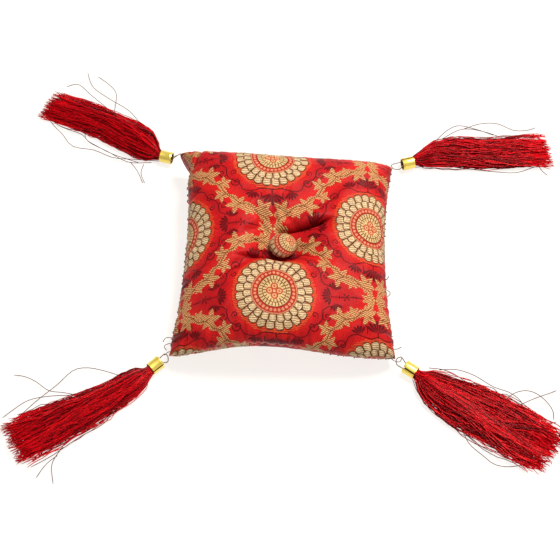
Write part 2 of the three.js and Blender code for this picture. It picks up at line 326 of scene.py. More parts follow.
# Puckers that run in from the seam, a short one at each stitch and a long one at every few.
PUCKERS = [
    dict(height=0.4, stitches=1, wobble=1, phase=0, reach=4.5, start=1.2),
    dict(height=0.5, stitches=2.7, wobble=2, phase=1, reach=9, start=3),
]
UNDER_PUCKER = 0.3  # how high the underside's puckers are, beside the top's
CREASES = table(
    "x y heading length bow depth half_width lip",
    (-3.5, 2.4, 11, 29, 0.4, 6.5, 1.35, 1),
    (-2, -11.4, 187, 23, 0.8, 2, 0.9, -1),
    (3.6, -10.8, 344, 11, 0.6, 1.8, 0.9, -1),
    (-7, -4, 178, 11, 0.4, 1.2, 0.8, 1),
    (-7, -8, 194, 9, 0.4, 1.2, 0.8, 1),
    (5.5, -5, 352, 10, -0.3, 1.2, 0.9, 1),
    (-6.5, 0, 120, 15, 0.8, 1.3, 1.0, 1),
    (-3.5, 4.5, 100, 12, -0.4, 0.9, 0.9, 1),
    (2, 4, 34, 12, 0.4, 0.9, 0.9, 1),
    (-6, -11, 232, 12, 0.4, 1.0, 1.0, 1),
    (-41, 54, 250, 17, 0.6, 2.6, 1.3, 1),
)
CREASE_LEAN = 0.8  # under 1 puts the deepest place of a crease nearer its start
LIP = dict(rise=0.16, at=2.4, width=1.8)  # the swelling beside a crease, as a share of its depth
OVERHANG = dict(push=0.4, at=1.2, width=1.1)  # how far that swelling leans over the crease
FULL_SHADE_DEPTH = 4  # depth of crease, in millimetres, from which the painted shade at its bottom is at its darkest
BUTTON_SHADE = dict(dark=0.6, start=6.4, width=1.5)  # the painted shade in a ring round the button
RIM_HOLD = 10  # the higher, the narrower the strip that the seam holds still
HOLLOW_HOLD = 4  # millimetres over which the cloth round the button comes free
LEAST_PIN = 0.1  # how firmly the freest point is still held
CLOTH_FRAMES = 12
CLOTH_CAP = 1.6  # millimetres that the simulation may move a point
CLOTH = dict(
    quality=6,
    mass=0.2,
    tension_stiffness=25,
    compression_stiffness=25,
    shear_stiffness=10,
    bending_stiffness=0.3,
    pin_stiffness=1,
    uniform_pressure_force=2,
    shrink_min=-0.018,
    shrink_max=-0.018,
)


def run_length(points, axis):
    """Length along the grid lines from the middle one."""
    step = np.linalg.norm(np.diff(points, axis=axis), axis=-1)
    total = np.insert(np.cumsum(step, axis=axis), 0, 0, axis=axis)
    return total - np.take(total, [total.shape[axis] // 2], axis=axis)


def cloth_place(points, u, v, pulls):
    """Where each point of a panel is in the flat cloth, measured from a medallion's middle."""
    x = run_length(points, 1) - WEAVE_START[0]
    y = run_length(points, 0) - WEAVE_START[1]
    c, s = math.cos(WEAVE_TURN), math.sin(WEAVE_TURN)
    place = np.stack([c * x + s * y, c * y - s * x], -1)
    for pull in pulls:
        share = ((1 + u * pull["corner"][0]) * (1 + v * pull["corner"][1]) / 4) ** 2
        place += share[..., None] * (pull["across"], pull["along"])
    return place


def panel_faces(count, start, flip):
    faces = []
    for j in range(count):
        for i in range(count):
            a = start + j * (count + 1) + i
            face = (a, a + 1, a + count + 2, a + count + 1)
            faces.append(face[::-1] if flip else face)
    return faces


def cushion_mesh():
    """Both panels as one closed mesh, joined along the seam, with their cloth in a UV map."""
    lines = grid_lines(PANEL_CELLS, PANEL_CROWDING)
    u, v = np.meshgrid(lines, lines)
    top, under = tied_top(u, v), underside(u, v)
    side = PANEL_CELLS + 1
    rim = np.zeros((side, side), bool)
    rim[0, :] = rim[-1, :] = rim[:, 0] = rim[:, -1] = True
    points = np.concatenate([top.reshape(-1, 3), under.reshape(-1, 3)])
    index = np.arange(2 * side * side)
    index[side * side :][rim.ravel()] = np.arange(side * side)[rim.ravel()]
    faces = panel_faces(PANEL_CELLS, 0, False) + panel_faces(PANEL_CELLS, side * side, True)
    cloth_top = cloth_place(crown(u, v), u, v, WEAVE_PULLS)
    cloth_under = cloth_place(under, u, v, []) + UNDERSIDE_SHIFT
    cloth = np.concatenate([cloth_top.reshape(-1, 2), cloth_under.reshape(-1, 2)])
    kept = np.unique(index)
    renumber = np.full(len(index), -1)
    renumber[kept] = np.arange(len(kept))
    piece = new_mesh("brocade_cushion", points[kept], [tuple(renumber[index[list(f)]]) for f in faces])
    corners = np.array(faces).ravel()
    write_map(piece.data.uv_layers.new(name="cloth"), cloth[corners] * MM)
    both_u, both_v = np.concatenate([u.ravel(), u.ravel() + UNDER]), np.tile(v.ravel(), 2)
    write_map(piece.data.uv_layers.new(name="panel"), np.stack([both_u, both_v], -1)[corners])
    from_rim = 1 - np.maximum(np.abs(u), np.abs(v)) ** RIM_HOLD
    free = np.concatenate([from_rim.ravel(), np.zeros(side * side)])
    free *= np.clip((from_button(points) - HOLLOW["floor"]) / HOLLOW_HOLD, 0, 1)
    return piece, free[kept]


def simulate(piece, free):
    """Lets the stuffing press the top panel out a little, so that it wrinkles where it is held."""
    start = coordinates(piece)
    pins = piece.vertex_groups.new(name="held")
    for i, loose in enumerate(free):
        pins.add([i], float(1 - (1 - LEAST_PIN) * loose), "REPLACE")
    cloth = piece.modifiers.new("stuffing", "CLOTH")
    for name, value in CLOTH.items():
        setattr(cloth.settings, name, value)
    cloth.settings.use_pressure = True
    cloth.settings.vertex_group_mass = pins.name
    cloth.settings.effector_weights.gravity = 0
    cloth.point_cache.frame_start = 1
    cloth.point_cache.frame_end = CLOTH_FRAMES
    for number in range(1, CLOTH_FRAMES + 1):
        bpy.context.scene.frame_set(number)
    apply_modifiers(piece)
    bpy.context.scene.frame_set(1)
    moved = coordinates(piece) - start
    length = np.linalg.norm(moved, axis=1, keepdims=True)
    capped = moved * np.minimum(1, CLOTH_CAP * MM / np.maximum(length, 1e-9)) * free[:, None]
    set_coordinates(piece, start + capped)
    piece.vertex_groups.clear()


def panel_shares(piece):
    """Each point's u and v, and whether it is on the underside; then drops the map that held them."""
    mesh = piece.data
    flat = np.empty(len(mesh.loops) * 2, np.float32)
    mesh.uv_layers["panel"].data.foreach_get("uv", flat)
    share = np.zeros((len(mesh.vertices), 2))
    share[corner_points(mesh)] = flat.reshape(-1, 2)
    mesh.uv_layers.remove(mesh.uv_layers["panel"])
    under = share[:, 0] > UNDER / 2
    share[under, 0] -= UNDER
    return share[:, 0], share[:, 1], under


def stitch_wobble(run, i):
    """How unevenly the stitches of seam i are spaced, in millimetres."""
    return sum(wave["size"] * np.sin(run * wave["rate"] + i * wave["shift"]) for wave in STITCH_WAVES)


def seam_gather(points, u, v, under):
    """Draws the cloth in at each overcast stitch, with short puckers that run in from the seam."""
    moved = points.copy()
    shares = ((u + 1) / 2, (v + 1) / 2, (1 - u) / 2, (1 - v) / 2)
    depths = (1 + v, 1 - u, 1 - v, 1 + u)
    inwards = ((0, 1), (-1, 0), (0, -1), (1, 0))
    for i, (share, depth, inward, pull) in enumerate(zip(shares, depths, inwards, STITCH_PULLS)):
        run, distance = share * 2 * PANEL_HALF, depth * PANEL_HALF
        ends = pull * np.clip(np.minimum(run, 2 * PANEL_HALF - run) / PINCH["ends"], 0, 1)
        wobble = stitch_wobble(run, i)
        pinch = np.cos(TAU * (run + wobble) / STITCH_PITCH) - PINCH["rest"]
        edge = PINCH["depth"] * pinch * np.exp(-distance / PINCH["reach"]) * ends
        moved[:, :2] += edge[:, None] * inward
        pucker = 0
        for row in PUCKERS:
            turn = TAU * (run + row["wobble"] * wobble) / (row["stitches"] * STITCH_PITCH)
            height = row["height"] * np.cos(turn + row["phase"] * i) * ends
            near = falloff(distance, row["reach"]) * np.clip(distance / row["start"], 0, 1)
            pucker = pucker + height * near
        moved[:, 2] -= np.where(under, -UNDER_PUCKER * pucker, pucker)
    moved[:, 2] = np.maximum(moved[:, 2], 0)
    return moved


def crease(points, under):
    """The sharp creases of the top, with one lip of each leaning over it, and the painted shade at each
    point.
    """
    moved = points.copy()
    top = ~under
    # painted shade: a dark ring round the button, then the bottoms of the creases, for the material to
    # lay over the cloth
    beyond = np.maximum(0, from_button(points) - BUTTON_SHADE["start"])
    painted_shade = BUTTON_SHADE["dark"] * falloff(beyond, BUTTON_SHADE["width"]) * top
    for fold in CREASES:
        heading = math.radians(fold["heading"])
        share, across = beside_fold(fold, points[:, 0], points[:, 1])
        across = across - fold["bow"] * np.sin(math.pi * share)
        profile = np.sin(math.pi * share**CREASE_LEAN) * top
        side = across * fold["lip"]
        foot = profile * falloff(across, fold["half_width"])
        # painted shade at the bottom of the crease, fuller the deeper the crease is
        painted_shade = np.maximum(painted_shade, foot * min(1, fold["depth"] / FULL_SHADE_DEPTH))
        rise = LIP["rise"] * profile * falloff(side - LIP["at"], LIP["width"])
        moved[:, 2] += fold["depth"] * (rise - foot)
        push = OVERHANG["push"] * profile * falloff(side - OVERHANG["at"], OVERHANG["width"])
        lean = fold["depth"] * push * fold["lip"]
        moved[:, 0] += math.sin(heading) * lean
        moved[:, 1] -= math.cos(heading) * lean
    return moved, np.clip(painted_shade, 0, 1)


# Threads.

CURVE_STEPS = 24  # steps between two points of a curve before it is spaced evenly


def frames_along(path):
    """Unit sideways and upward directions at each point of many paths at once."""
    tangent = np.gradient(path, axis=-2)
    tangent /= np.linalg.norm(tangent, axis=-1, keepdims=True) + 1e-12
    side = np.cross(tangent, (0, 0, 1.0)) + (1e-6, 0, 0)
    side /= np.linalg.norm(side, axis=-1, keepdims=True)
    return side, np.cross(side, tangent)


def distance_along(path, power=1):
    return np.insert(np.cumsum(np.linalg.norm(np.diff(path, axis=0), axis=1) ** power), 0, 0)


def smooth_path(points, count):
    """A centripetal curve through points, at even spacing."""
    points = np.asarray(points, float)
    ends = np.vstack([2 * points[0] - points[1], points, 2 * points[-1] - points[-2]])
    knots = distance_along(ends, 0.5)
    line = []
    for i in range(1, len(ends) - 2):
        p, t = ends[i - 1 : i + 3], knots[i - 1 : i + 3]
        for at in np.linspace(t[1], t[2], CURVE_STEPS, endpoint=i == len(ends) - 3):
            a = [((t[k + 1] - at) * p[k] + (at - t[k]) * p[k + 1]) / (t[k + 1] - t[k]) for k in range(3)]
            b = [((t[k + 2] - at) * a[k] + (at - t[k]) * a[k + 1]) / (t[k + 2] - t[k]) for k in range(2)]
            line.append(((t[2] - at) * b[0] + (at - t[1]) * b[1]) / (t[2] - t[1]))
    line = np.array(line)
    run = distance_along(line)
    even = np.linspace(0, run[-1], count)
    return np.stack([np.interp(even, run, line[:, k]) for k in range(3)], -1)


def tubes(name, paths, radii, sides, tones_and_tip_light=None):
    """One mesh of many closed thin tubes. paths is (tubes, steps, 3); radii, and the colour numbers of
    the threads with their painted tip light, fit its start.
    """
    count, steps, _ = paths.shape
    side, up = frames_along(paths)
    radii = np.broadcast_to(radii, (count, steps))
    turn = TAU * np.arange(sides) / sides
    ring = side[:, :, None] * np.cos(turn)[:, None] + up[:, :, None] * np.sin(turn)[:, None]
    points = (paths[:, :, None] + ring * radii[:, :, None, None]).reshape(-1, 3)
    faces = []
    for n in range(count):
        first = n * steps * sides
        for k in range(steps - 1):
            for s in range(sides):
                a = first + k * sides + s
                b = first + k * sides + (s + 1) % sides
                faces.append((a, a + sides, b + sides, b))
        faces.append(tuple(first + s for s in range(sides)))
        faces.append(tuple(first + (steps - 1) * sides + s for s in reversed(range(sides))))
    piece = new_mesh(name, points, faces)
    if tones_and_tip_light is not None:
        write_attribute(piece, "tone", np.repeat(tones_and_tip_light, sides))
    return piece


THREAD_STEPS = 22
STEP_CROWDING = 1.12  # over 1 puts more of a thread's steps near its cap
THREAD_SIDES = 3
THREAD_RADIUS = 0.2  # how high a thread's middle lies over the floor
LOCKS = 60  # bunches that the threads gather into
# How far a bunch and a thread in its bunch stray, as shares of the tassel's half width and height.
WANDER = dict(bunch_across=0.17, thread_across=0.07, bunch_high=0.12, thread_high=0.06, apart=0.11)
WIDEST = 1.25  # furthest that a thread may stray, in half widths
HIGHEST = 1.08  # the same for its height over the floor
TIPS_DRAWN = 0.65  # how much of their distance apart the threads of a bunch lose by its tip
SIDES_LOWER = 0.35  # how much lower the threads lie at the sides than in the middle
SHORTER = dict(extra=1.5, bunch=9, thread=6)  # millimetres by which reaches differ
HEAD_RADIUS = 2.35  # radius of the round bundle in the cap
HEAD_BACK = 2  # how far behind the cap's mouth the threads start
OPENING = 0.12  # share of its length in which the round bundle lies down into a fan
CRINKLE = 0.28  # millimetres
TIP_START = 0.84  # share of a thread's length beyond which its tip curls away
TIP_CURL = 1.0  # millimetres
PAINTED_TIP_LIGHT = 0.4  # painted light: how much lighter the tips are painted
TIP_TAPER = 0.6
STRAY_TONE = -0.6  # marks the stray threads for their material
STRAY_RADIUS = 0.19
STRAY_ARCH = dict(least=1.2, step=0.5, start=1.6)  # millimetres over the floor
# Threads that curl away: where along them they start to, how far and through how many quarter turns.
FLYAWAY = dict(count=8, start=0.1, start_range=0.5, reach=(3, 8), turns=(1.2, 2.6), lift=0.3, arch=2.2)
# Threads that have strayed from each tassel: the places that each one passes over.
STRAYS = {
    "near_left": [
        [(-78, -63), (-88, -60), (-94, -59), (-100, -60), (-108, -68), (-116, -75), (-124, -83)],
        [(-93, -74), (-104, -72), (-111, -71), (-118, -66), (-124, -63), (-129, -62)],
        [(-99, -73), (-110, -74), (-120, -76), (-128, -81), (-132, -84)],
        [(-81, -80), (-82, -85), (-86, -89), (-93, -93), (-100, -98), (-107, -103), (-116, -108)],
        [(-99, -92), (-102, -99), (-106, -107), (-105, -116)],
        [(-104, -103), (-108, -107), (-113, -113)],
        [(-64, -65), (-69, -72), (-76, -78), (-81, -82), (-86, -84)],
    ],
    "near_right": [
        [(77, -86), (82, -90), (85, -97), (91, -103), (96, -107), (102, -108), (109, -107)],
        [(104, -76), (107, -73), (113, -71), (118, -72), (123, -76), (126, -81), (126, -85)],
        [(106, -80), (111, -78), (118, -75), (125, -72), (129, -70)],
        [(69, -59), (76, -60), (82, -63), (86, -66), (94, -68), (100, -70), (102, -75), (107, -79)],
        [(74, -60), (82, -60), (90, -63), (99, -69), (107, -72), (112, -77), (111, -83)],
        [(61, -65), (63, -72), (69, -80), (77, -87), (82, -92)],
        [(113, -81), (118, -84), (122, -87), (127, -86)],
    ],
    "far_right": [
        [(82, 75), (88, 81), (94, 84), (104, 82), (113, 79)],
        [(97, 82), (106, 85), (115, 85), (124, 81), (132, 82), (136, 84)],
        [(84, 75), (96, 81), (107, 80), (118, 77)],
        [(69, 57), (83, 58), (96, 56), (113, 54), (123, 54), (133, 58), (143, 59)],
        [(127, 60), (133, 59), (136, 55), (139, 53)],
    ],
    "far_left": [
        [(-66, 61), (-79, 62), (-90, 63), (-101, 68), (-113, 71), (-119, 79), (-125, 86), (-130, 94)],
        [(-70, 60), (-82, 60), (-94, 67), (-104, 73), (-108, 78), (-120, 84), (-127, 90)],
        [(-77, 60), (-91, 65), (-98, 69), (-106, 75), (-107, 80), (-114, 86), (-124, 88)],
        [(-67, 73), (-77, 85), (-84, 94), (-96, 103), (-105, 111), (-108, 118), (-109, 122)],
        [(-92, 92), (-92, 106), (-97, 113), (-103, 119)],
        [(-81, 60), (-77, 54), (-74, 48)],
        [(-74, 59), (-75, 53), (-73, 48)],
        [(-93, 93), (-105, 104), (-114, 113), (-120, 112)],
    ],
}


def tassel_frame(tassel):
    heading = math.radians(tassel["cap_heading"])
    out = np.array([math.cos(heading), math.sin(heading), 0])
    return np.array([tassel["x"], tassel["y"], 0]), out, np.array([-out[1], out[0], 0])


def strayed(rng, count, amount, waves, share):
    """A smooth random sideways run for each of many threads, nothing at the start."""
    total = np.zeros((count, len(share)))
    for k in range(waves):
        size = rng.normal(0, amount, count)[:, None]
        total += size * np.sin((k + 0.7) * math.pi * share) / (k + 1) ** 0.7
    return total


def bunched(rng, count, share):
    """Which bunch each thread is in, and how far across and how high it lies along its length."""
    lock = rng.integers(0, LOCKS, count)
    angle, radius = TAU * rng.random(LOCKS), np.sqrt(rng.random(LOCKS))
    lock_across, lock_high = radius * np.cos(angle), 0.5 + 0.5 * radius * np.sin(angle)
    apart = rng.normal(0, WANDER["apart"], (count, 2))[..., None] * (1 - TIPS_DRAWN * share**3)
    place = strayed(rng, LOCKS, WANDER["bunch_across"], 4, share)[lock]
    place += strayed(rng, count, WANDER["thread_across"], 3, share)
    place += lock_across[lock][:, None] + apart[:, 0]
    level = strayed(rng, LOCKS, WANDER["bunch_high"], 3, share)[lock]
    level += strayed(rng, count, WANDER["thread_high"], 3, share)
    level += lock_high[lock][:, None] + apart[:, 1]
    return lock, place, np.clip(level, 0, HIGHEST)


def tip_share(share):
    """How far along its tip each place of a thread is."""
    return np.clip((share - TIP_START) / (1 - TIP_START), 0, 1)


def skirt_paths(tassel, rng, count):
    """Threads that leave the cap in a round bundle and lie down in a fan of loose, crossing bunches."""
    mouth, out, left = tassel_frame(tassel)
    turn = math.radians(tassel["heading"] - tassel["cap_heading"])
    share = np.linspace(0, 1, THREAD_STEPS) ** STEP_CROWDING
    lock, place, level = bunched(rng, count, share)
    reach = THREAD_LENGTH + SHORTER["extra"] - SHORTER["bunch"] * rng.random(LOCKS)[lock] ** 1.4
    reach -= SHORTER["thread"] * rng.random(count) ** 2
    half = np.interp(share, SECTIONS, tassel["half_width"])
    swing = np.interp(share, SECTIONS, tassel["swing"])
    top = np.interp(share, SECTIONS, SKIRT_HEIGHT)
    spread = np.clip(share / OPENING, 0, 1)
    spread = spread * spread * (3 - 2 * spread)
    angle, radius = TAU * rng.random(count), HEAD_RADIUS * np.sqrt(rng.random(count))
    head, low = (radius * np.cos(angle))[:, None], (radius * np.sin(angle))[:, None]
    curl = rng.normal(0, TIP_CURL, LOCKS)[lock] + rng.normal(0, TIP_CURL, count)
    crinkle = rng.normal(0, CRINKLE, (count, THREAD_STEPS)) * np.clip(share / 0.3, 0, 1)
    sideways = head * (1 - spread) + (half * np.clip(place, -WIDEST, WIDEST) + crinkle) * spread
    round_top = 1 - SIDES_LOWER * np.clip(np.abs(place), 0, 1) ** 2
    rest = THREAD_RADIUS + level * (top - 2 * THREAD_RADIUS) * round_top
    height = (CAP["radius"] + low) * (1 - spread) + rest * spread
    run = (reach[:, None] + HEAD_COLLAR + HEAD_BACK) * share - HEAD_BACK
    bent = turn * spread
    step = np.diff(run, axis=1, prepend=run[:, :1])
    forward = np.cumsum(step * np.cos(bent), axis=1) + run[:, :1]
    drift = np.cumsum(step * np.sin(bent), axis=1)
    shift = swing + sideways + curl[:, None] * tip_share(share) ** 2
    path = mouth + (forward - shift * np.sin(bent))[..., None] * out
    path += (drift + shift * np.cos(bent))[..., None] * left
    path[..., 2] = np.maximum(height, THREAD_RADIUS)
    return path


def flyaway_paths(tassel, rng, count):
    """Threads that curl away from the bundle towards its end."""
    base = skirt_paths(tassel, rng, count)
    share = np.linspace(0, 1, THREAD_STEPS)
    side, _ = frames_along(base)
    start = FLYAWAY["start"] + FLYAWAY["start_range"] * rng.random(count)
    loose = np.clip((share - start[:, None]) / (1 - start[:, None]), 0, 1)
    way = np.where(rng.random(count) < 0.5, 1, -1) * rng.uniform(*FLYAWAY["reach"], count)
    curl = np.sin(rng.uniform(*FLYAWAY["turns"], count)[:, None] * loose * math.pi / 2) * way[:, None]
    base += side * (curl * loose**0.6)[..., None]
    lifted = FLYAWAY["lift"] + FLYAWAY["arch"] * np.sin(math.pi * loose) * rng.random(count)[:, None]
    base[..., 2] = np.maximum(THREAD_RADIUS, base[..., 2] * (1 - loose) + lifted)
    return base


def stray_paths(tassel):
    """The threads that have strayed, low over the floor and arched a little between their ends."""
    share = np.linspace(0, 1, THREAD_STEPS)
    paths = []
    for number, places in enumerate(STRAYS[tassel["name"]]):
        arch = STRAY_ARCH["least"] + STRAY_ARCH["step"] * (number % 3)
        route = smooth_path([(x, y, 0) for x, y in places], THREAD_STEPS)
        start = STRAY_ARCH["start"] * (1 - share) ** 2
        route[:, 2] = STRAY_RADIUS + arch * np.sin(math.pi * share) + start
        paths.append(route)
    return np.array(paths)


def build_skirt(tassel, number, threads, radius):
    """All the threads of one tassel, with a colour number at each point: a random depth of colour per
    thread, with painted light at the tips.
    """
    rng = np.random.default_rng(100 + number)
    strays = np.concatenate([stray_paths(tassel), flyaway_paths(tassel, rng, FLYAWAY["count"])])
    paths = np.concatenate([skirt_paths(tassel, rng, threads), strays])
    taper = np.ones(THREAD_STEPS)
    taper[-1] = TIP_TAPER
    radii = np.full(len(paths), radius)
    radii[threads:] = STRAY_RADIUS
    tones_and_tip_light = np.full((len(paths), THREAD_STEPS), STRAY_TONE)
    tip = tip_share(np.linspace(0, 1, THREAD_STEPS))
    # a random depth of colour for each thread, plus painted light that makes its tip lighter
    tones_and_tip_light[:threads] = rng.random(threads)[:, None] + PAINTED_TIP_LIGHT * tip
    return tubes(f"threads_{tassel['name']}", paths, radii[:, None] * taper, THREAD_SIDES, tones_and_tip_light)


# Loops and stitches.

LOOP_SPREAD = 2.1  # how far a loop stands out to each side of its middle
LOOP_WIDEST = 0.74  # where along its length that is
LOOP_SIDES = (1.15, -0.9)  # one side stands out further than the other
LOOP_STEPS = 60
PLY = dict(radius=0.16, winding=0.11, pitch=1.2, sides=5)
OVERCAST = dict(radius=0.27, sides=5, steps=364, first=0.035, last=0.965)
# How the overcast thread winds round the seam, in millimetres: inwards, upwards and along.
WINDING = dict(middle=0.5, reach=1.2, change=0.25, rate=1.7, lift=0.3, height=1.0, slant=0.35, lag=0.6)
FRAY = dict(radius=0.18, sides=4, steps=12)


def loop_route(tassel, tip):
    mouth, out, left = tassel_frame(tassel)
    mouth = mouth + (0, 0, CAP["radius"])
    start, back = mouth - out * (HEAD_DEPTH + SOFT_GAP), mouth - out * (CAP["length"] + LOOP["clear"])
    away = (back - tip) / np.linalg.norm(back - tip)
    bend = tip + away * (SOFT_GAP + LOOP["thread"] / 2)
    turn = back + (bend - back) * LOOP_WIDEST
    wide = np.array([-away[1], away[0], 0])
    wide /= np.linalg.norm(wide)
    aside, shoulder = left * LOOP["half_width"], wide * LOOP_SPREAD
    one = [start + aside, back + aside, turn + shoulder * LOOP_SIDES[0]]
    two = [start - aside, back - aside, turn + shoulder * LOOP_SIDES[1]]
    return smooth_path(one + [bend] + two[::-1], LOOP_STEPS)


def twisted(path, phase):
    """One ply of a two-ply thread round a path."""
    side, up = frames_along(path)
    turn = (TAU * distance_along(path) / PLY["pitch"] + phase)[:, None]
    return path + PLY["winding"] * (side * np.cos(turn) + up * np.sin(turn))


def build_loop(tassel, tip):
    route = loop_route(tassel, tip)
    plies = np.stack([twisted(route, phase) for phase in (0, math.pi)])
    return tubes(f"thread_loop_{tassel['name']}", plies, PLY["radius"], PLY["sides"])


def overcast_path(i):
    """One thread wound over the seam that starts at corner i."""
    share = np.linspace(OVERCAST["first"], OVERCAST["last"], OVERCAST["steps"])
    run, inward = seam_directions(i)
    along = share * 2 * PANEL_HALF
    turn = TAU * (along + stitch_wobble(along, i)) / STITCH_PITCH
    reach = WINDING["reach"] + WINDING["change"] * np.sin(along * WINDING["rate"] + i)
    path = seam_point(i, share) + inward * (WINDING["middle"] + reach * np.cos(turn))[:, None]
    path[:, 2] += WINDING["lift"] + WINDING["height"] * np.sin(turn)
    path += run * (WINDING["slant"] * np.sin(turn + WINDING["lag"]))[:, None]
    return path


# Loose thread ends along the seam: the places that each one passes through.
FRAYS = [
    [(-50, -50.4, 7.5), (-54.8, -48.6, 7), (-57.4, -49.6, 6), (-56.2, -51.4, 5.4)],
    [(-51, -53.2, 6.6), (-55, -52.6, 6.2), (-57.2, -53.8, 5)],
    [(-49, -47.2, 8.4), (-54.4, -45.8, 7.6), (-57, -45.2, 6), (-58.2, -46.8, 5)],
    [(49, -54.6, 6.8), (52.4, -57.4, 6.2), (55, -57.4, 5.4), (56, -55.4, 5)],
    [(49, -51, 7.4), (53.4, -51.6, 7), (56, -50, 6)],
    [(45, -25.4, 8.6), (50.4, -24, 8.4), (51.9, -21.6, 8), (50.4, -20, 7.8)],
    [(45, -15.4, 9), (50.2, -14.8, 9), (51.6, -12.6, 8.6)],
]


def build_frays():
    routes = np.stack([smooth_path(places, FRAY["steps"]) for places in FRAYS])
    return tubes("frayed_ends", routes, FRAY["radius"], FRAY["sides"])


def build_overcast():
    routes = np.stack([overcast_path(i) for i in range(4)])
    return tubes("overcast_thread", routes, OVERCAST["radius"], OVERCAST["sides"])


# Button and caps.

BUTTON_WEAVE = 1.3  # the cloth is drawn tight over the button
BUTTON_MIDDLE = (-5.4, -1.2)  # the button's middle, from the middle of the medallion it shows
DOME = dict(top=0.7, bottom=0.36, arc=0.92)  # heights and run of cloth over it, beside a ball's
GATHER = dict(folds=15, depth=0.05, start=0.15, drawn_in=0.18)  # the cloth gathered beneath
# Rings cut in a cap, as shares of its length from the mouth, and the ring that swells to its full width.
CAP_RINGS = (0.06, 0.8, 0.88, 0.96)
CAP_SWELL = 0.88
# The turned-in back of a cap: how much narrower each step gets, and how far it goes, in millimetres.
CAP_BACK = ((0.86, -0.1), (0.86, 0.25), (0.95, 0.6))
CAP_EDGE = 0.06


def build_button():
    """A domed button under the same cloth, gathered beneath."""
    bpy.ops.object.select_all(action="DESELECT")
    radius = BUTTON["radius"]
    bpy.ops.mesh.primitive_uv_sphere_add(segments=64, ring_count=32, radius=radius * MM)
    piece = bpy.context.object
    piece.name = "brocade_button"
    points = coordinates(piece) / MM
    flat = np.hypot(points[:, 0], points[:, 1])
    around = np.arctan2(points[:, 1], points[:, 0])
    up = np.arctan2(points[:, 2], flat)
    arc = (math.pi / 2 - up) * radius * DOME["arc"]
    cloth = np.stack([arc * np.cos(around), arc * np.sin(around)], -1) * BUTTON_WEAVE + BUTTON_MIDDLE
    under = np.clip(GATHER["start"] - points[:, 2] / radius, 0, 1)
    folds = GATHER["depth"] * under * (0.5 + 0.5 * np.cos(around * GATHER["folds"]))
    points[:, :2] *= (1 - folds - GATHER["drawn_in"] * under**2)[:, None]
    points[:, 2] *= np.where(points[:, 2] < 0, DOME["bottom"], DOME["top"])
    points += (BUTTON["x"], BUTTON["y"], BUTTON["seat"] + SOFT_GAP + DOME["bottom"] * radius)
    set_coordinates(piece, points * MM)
    layer = piece.data.uv_layers[0]
    layer.name = "cloth"
    write_map(layer, cloth[corner_points(piece.data)] * MM)
    bpy.ops.object.shade_smooth()
    return piece


def edit_where(piece, kind, inside):
    """Enters edit mode with the points or faces selected whose place passes a test."""
    bpy.ops.object.mode_set(mode="OBJECT")
    mesh = piece.data
    for group in (mesh.vertices, mesh.edges, mesh.polygons):
        for item in group:
            item.select = False
    bpy.context.tool_settings.mesh_select_mode = (kind == "VERT", False, kind == "FACE")
    for item in mesh.vertices if kind == "VERT" else mesh.polygons:
        item.select = inside(item.co if kind == "VERT" else item.center)
    bpy.ops.object.mode_set(mode="EDIT")


def cap_blank():
    """A gilt cap rolled from thin sheet, its axis along Z and its mouth at the origin."""
    bpy.ops.object.select_all(action="DESELECT")
    radius, length = (CAP["radius"] - CAP["lip"]) * MM, CAP["length"] * MM
    bpy.ops.mesh.primitive_cylinder_add(
        vertices=48, radius=radius, depth=length, end_fill_type="NOTHING", location=(0, 0, -length / 2)
    )
    piece = bpy.context.object
    bpy.ops.object.transform_apply(location=True)
    bpy.ops.object.mode_set(mode="EDIT")
    for share in CAP_RINGS:
        bpy.ops.mesh.select_all(action="SELECT")
        bpy.ops.mesh.bisect(plane_co=(0, 0, -length * share), plane_no=(0, 0, 1))
    edit_where(piece, "VERT", lambda p: abs(p[2] / length + CAP_SWELL) < 0.01)
    swell = CAP["radius"] / (CAP["radius"] - CAP["lip"])
    bpy.ops.transform.resize(value=(swell, swell, 1), center_override=(0, 0, -CAP_SWELL * length))
    edit_where(piece, "VERT", lambda p: p[2] < -0.99 * length)
    for scale, inward in CAP_BACK:
        bpy.ops.mesh.extrude_edges_move(TRANSFORM_OT_translate={"value": (0, 0, inward * MM)})
        bpy.ops.transform.resize(value=(scale, scale, 1), center_override=(0, 0, -length))
    edit_where(piece, "FACE", lambda p: p[0] > 0 and abs(p[1]) < 0.1 * radius)
    bpy.ops.mesh.delete(type="FACE")
    bpy.ops.mesh.select_all(action="SELECT")
    bpy.ops.mesh.normals_make_consistent(inside=False)
    bpy.ops.object.mode_set(mode="OBJECT")
    wall = piece.modifiers.new("wall", "SOLIDIFY")
    wall.thickness = CAP["wall"] * MM
    wall.offset = -1
    edge = piece.modifiers.new("edge", "BEVEL")
    edge.width = CAP_EDGE * MM
    edge.segments = 2
    apply_modifiers(piece)
    bpy.ops.object.shade_smooth_by_angle(angle=math.radians(40))
    # marks the inward-facing wall, which the gilt material darkens with painted shade
    points = coordinates(piece)
    inner = np.hypot(points[:, 0], points[:, 1]) < radius - 0.7 * CAP["wall"] * MM
    write_attribute(piece, "inner", inner)
    return piece


def place_cap(blank, tassel):
    """A copy of the cap, laid down at its tassel with its slit turned to the near side."""
    piece = bpy.data.objects.new(f"gilt_cap_{tassel['name']}", blank.data.copy())
    bpy.context.scene.collection.objects.link(piece)
    heading = math.radians(tassel["cap_heading"])
    lying = Matrix.Rotation(heading, 4, "Z") @ Matrix.Rotation(math.pi / 2, 4, "Y")
    turned = Matrix.Rotation(tassel["slit_turn"], 4, "Z")
    mouth = Matrix.Translation(Vector((tassel["x"], tassel["y"], CAP["radius"])) * MM)
    piece.data.transform(mouth @ lying @ turned)
    return piece


# Materials.

SHEEN = 0.12  # how strongly silk mirrors the lights


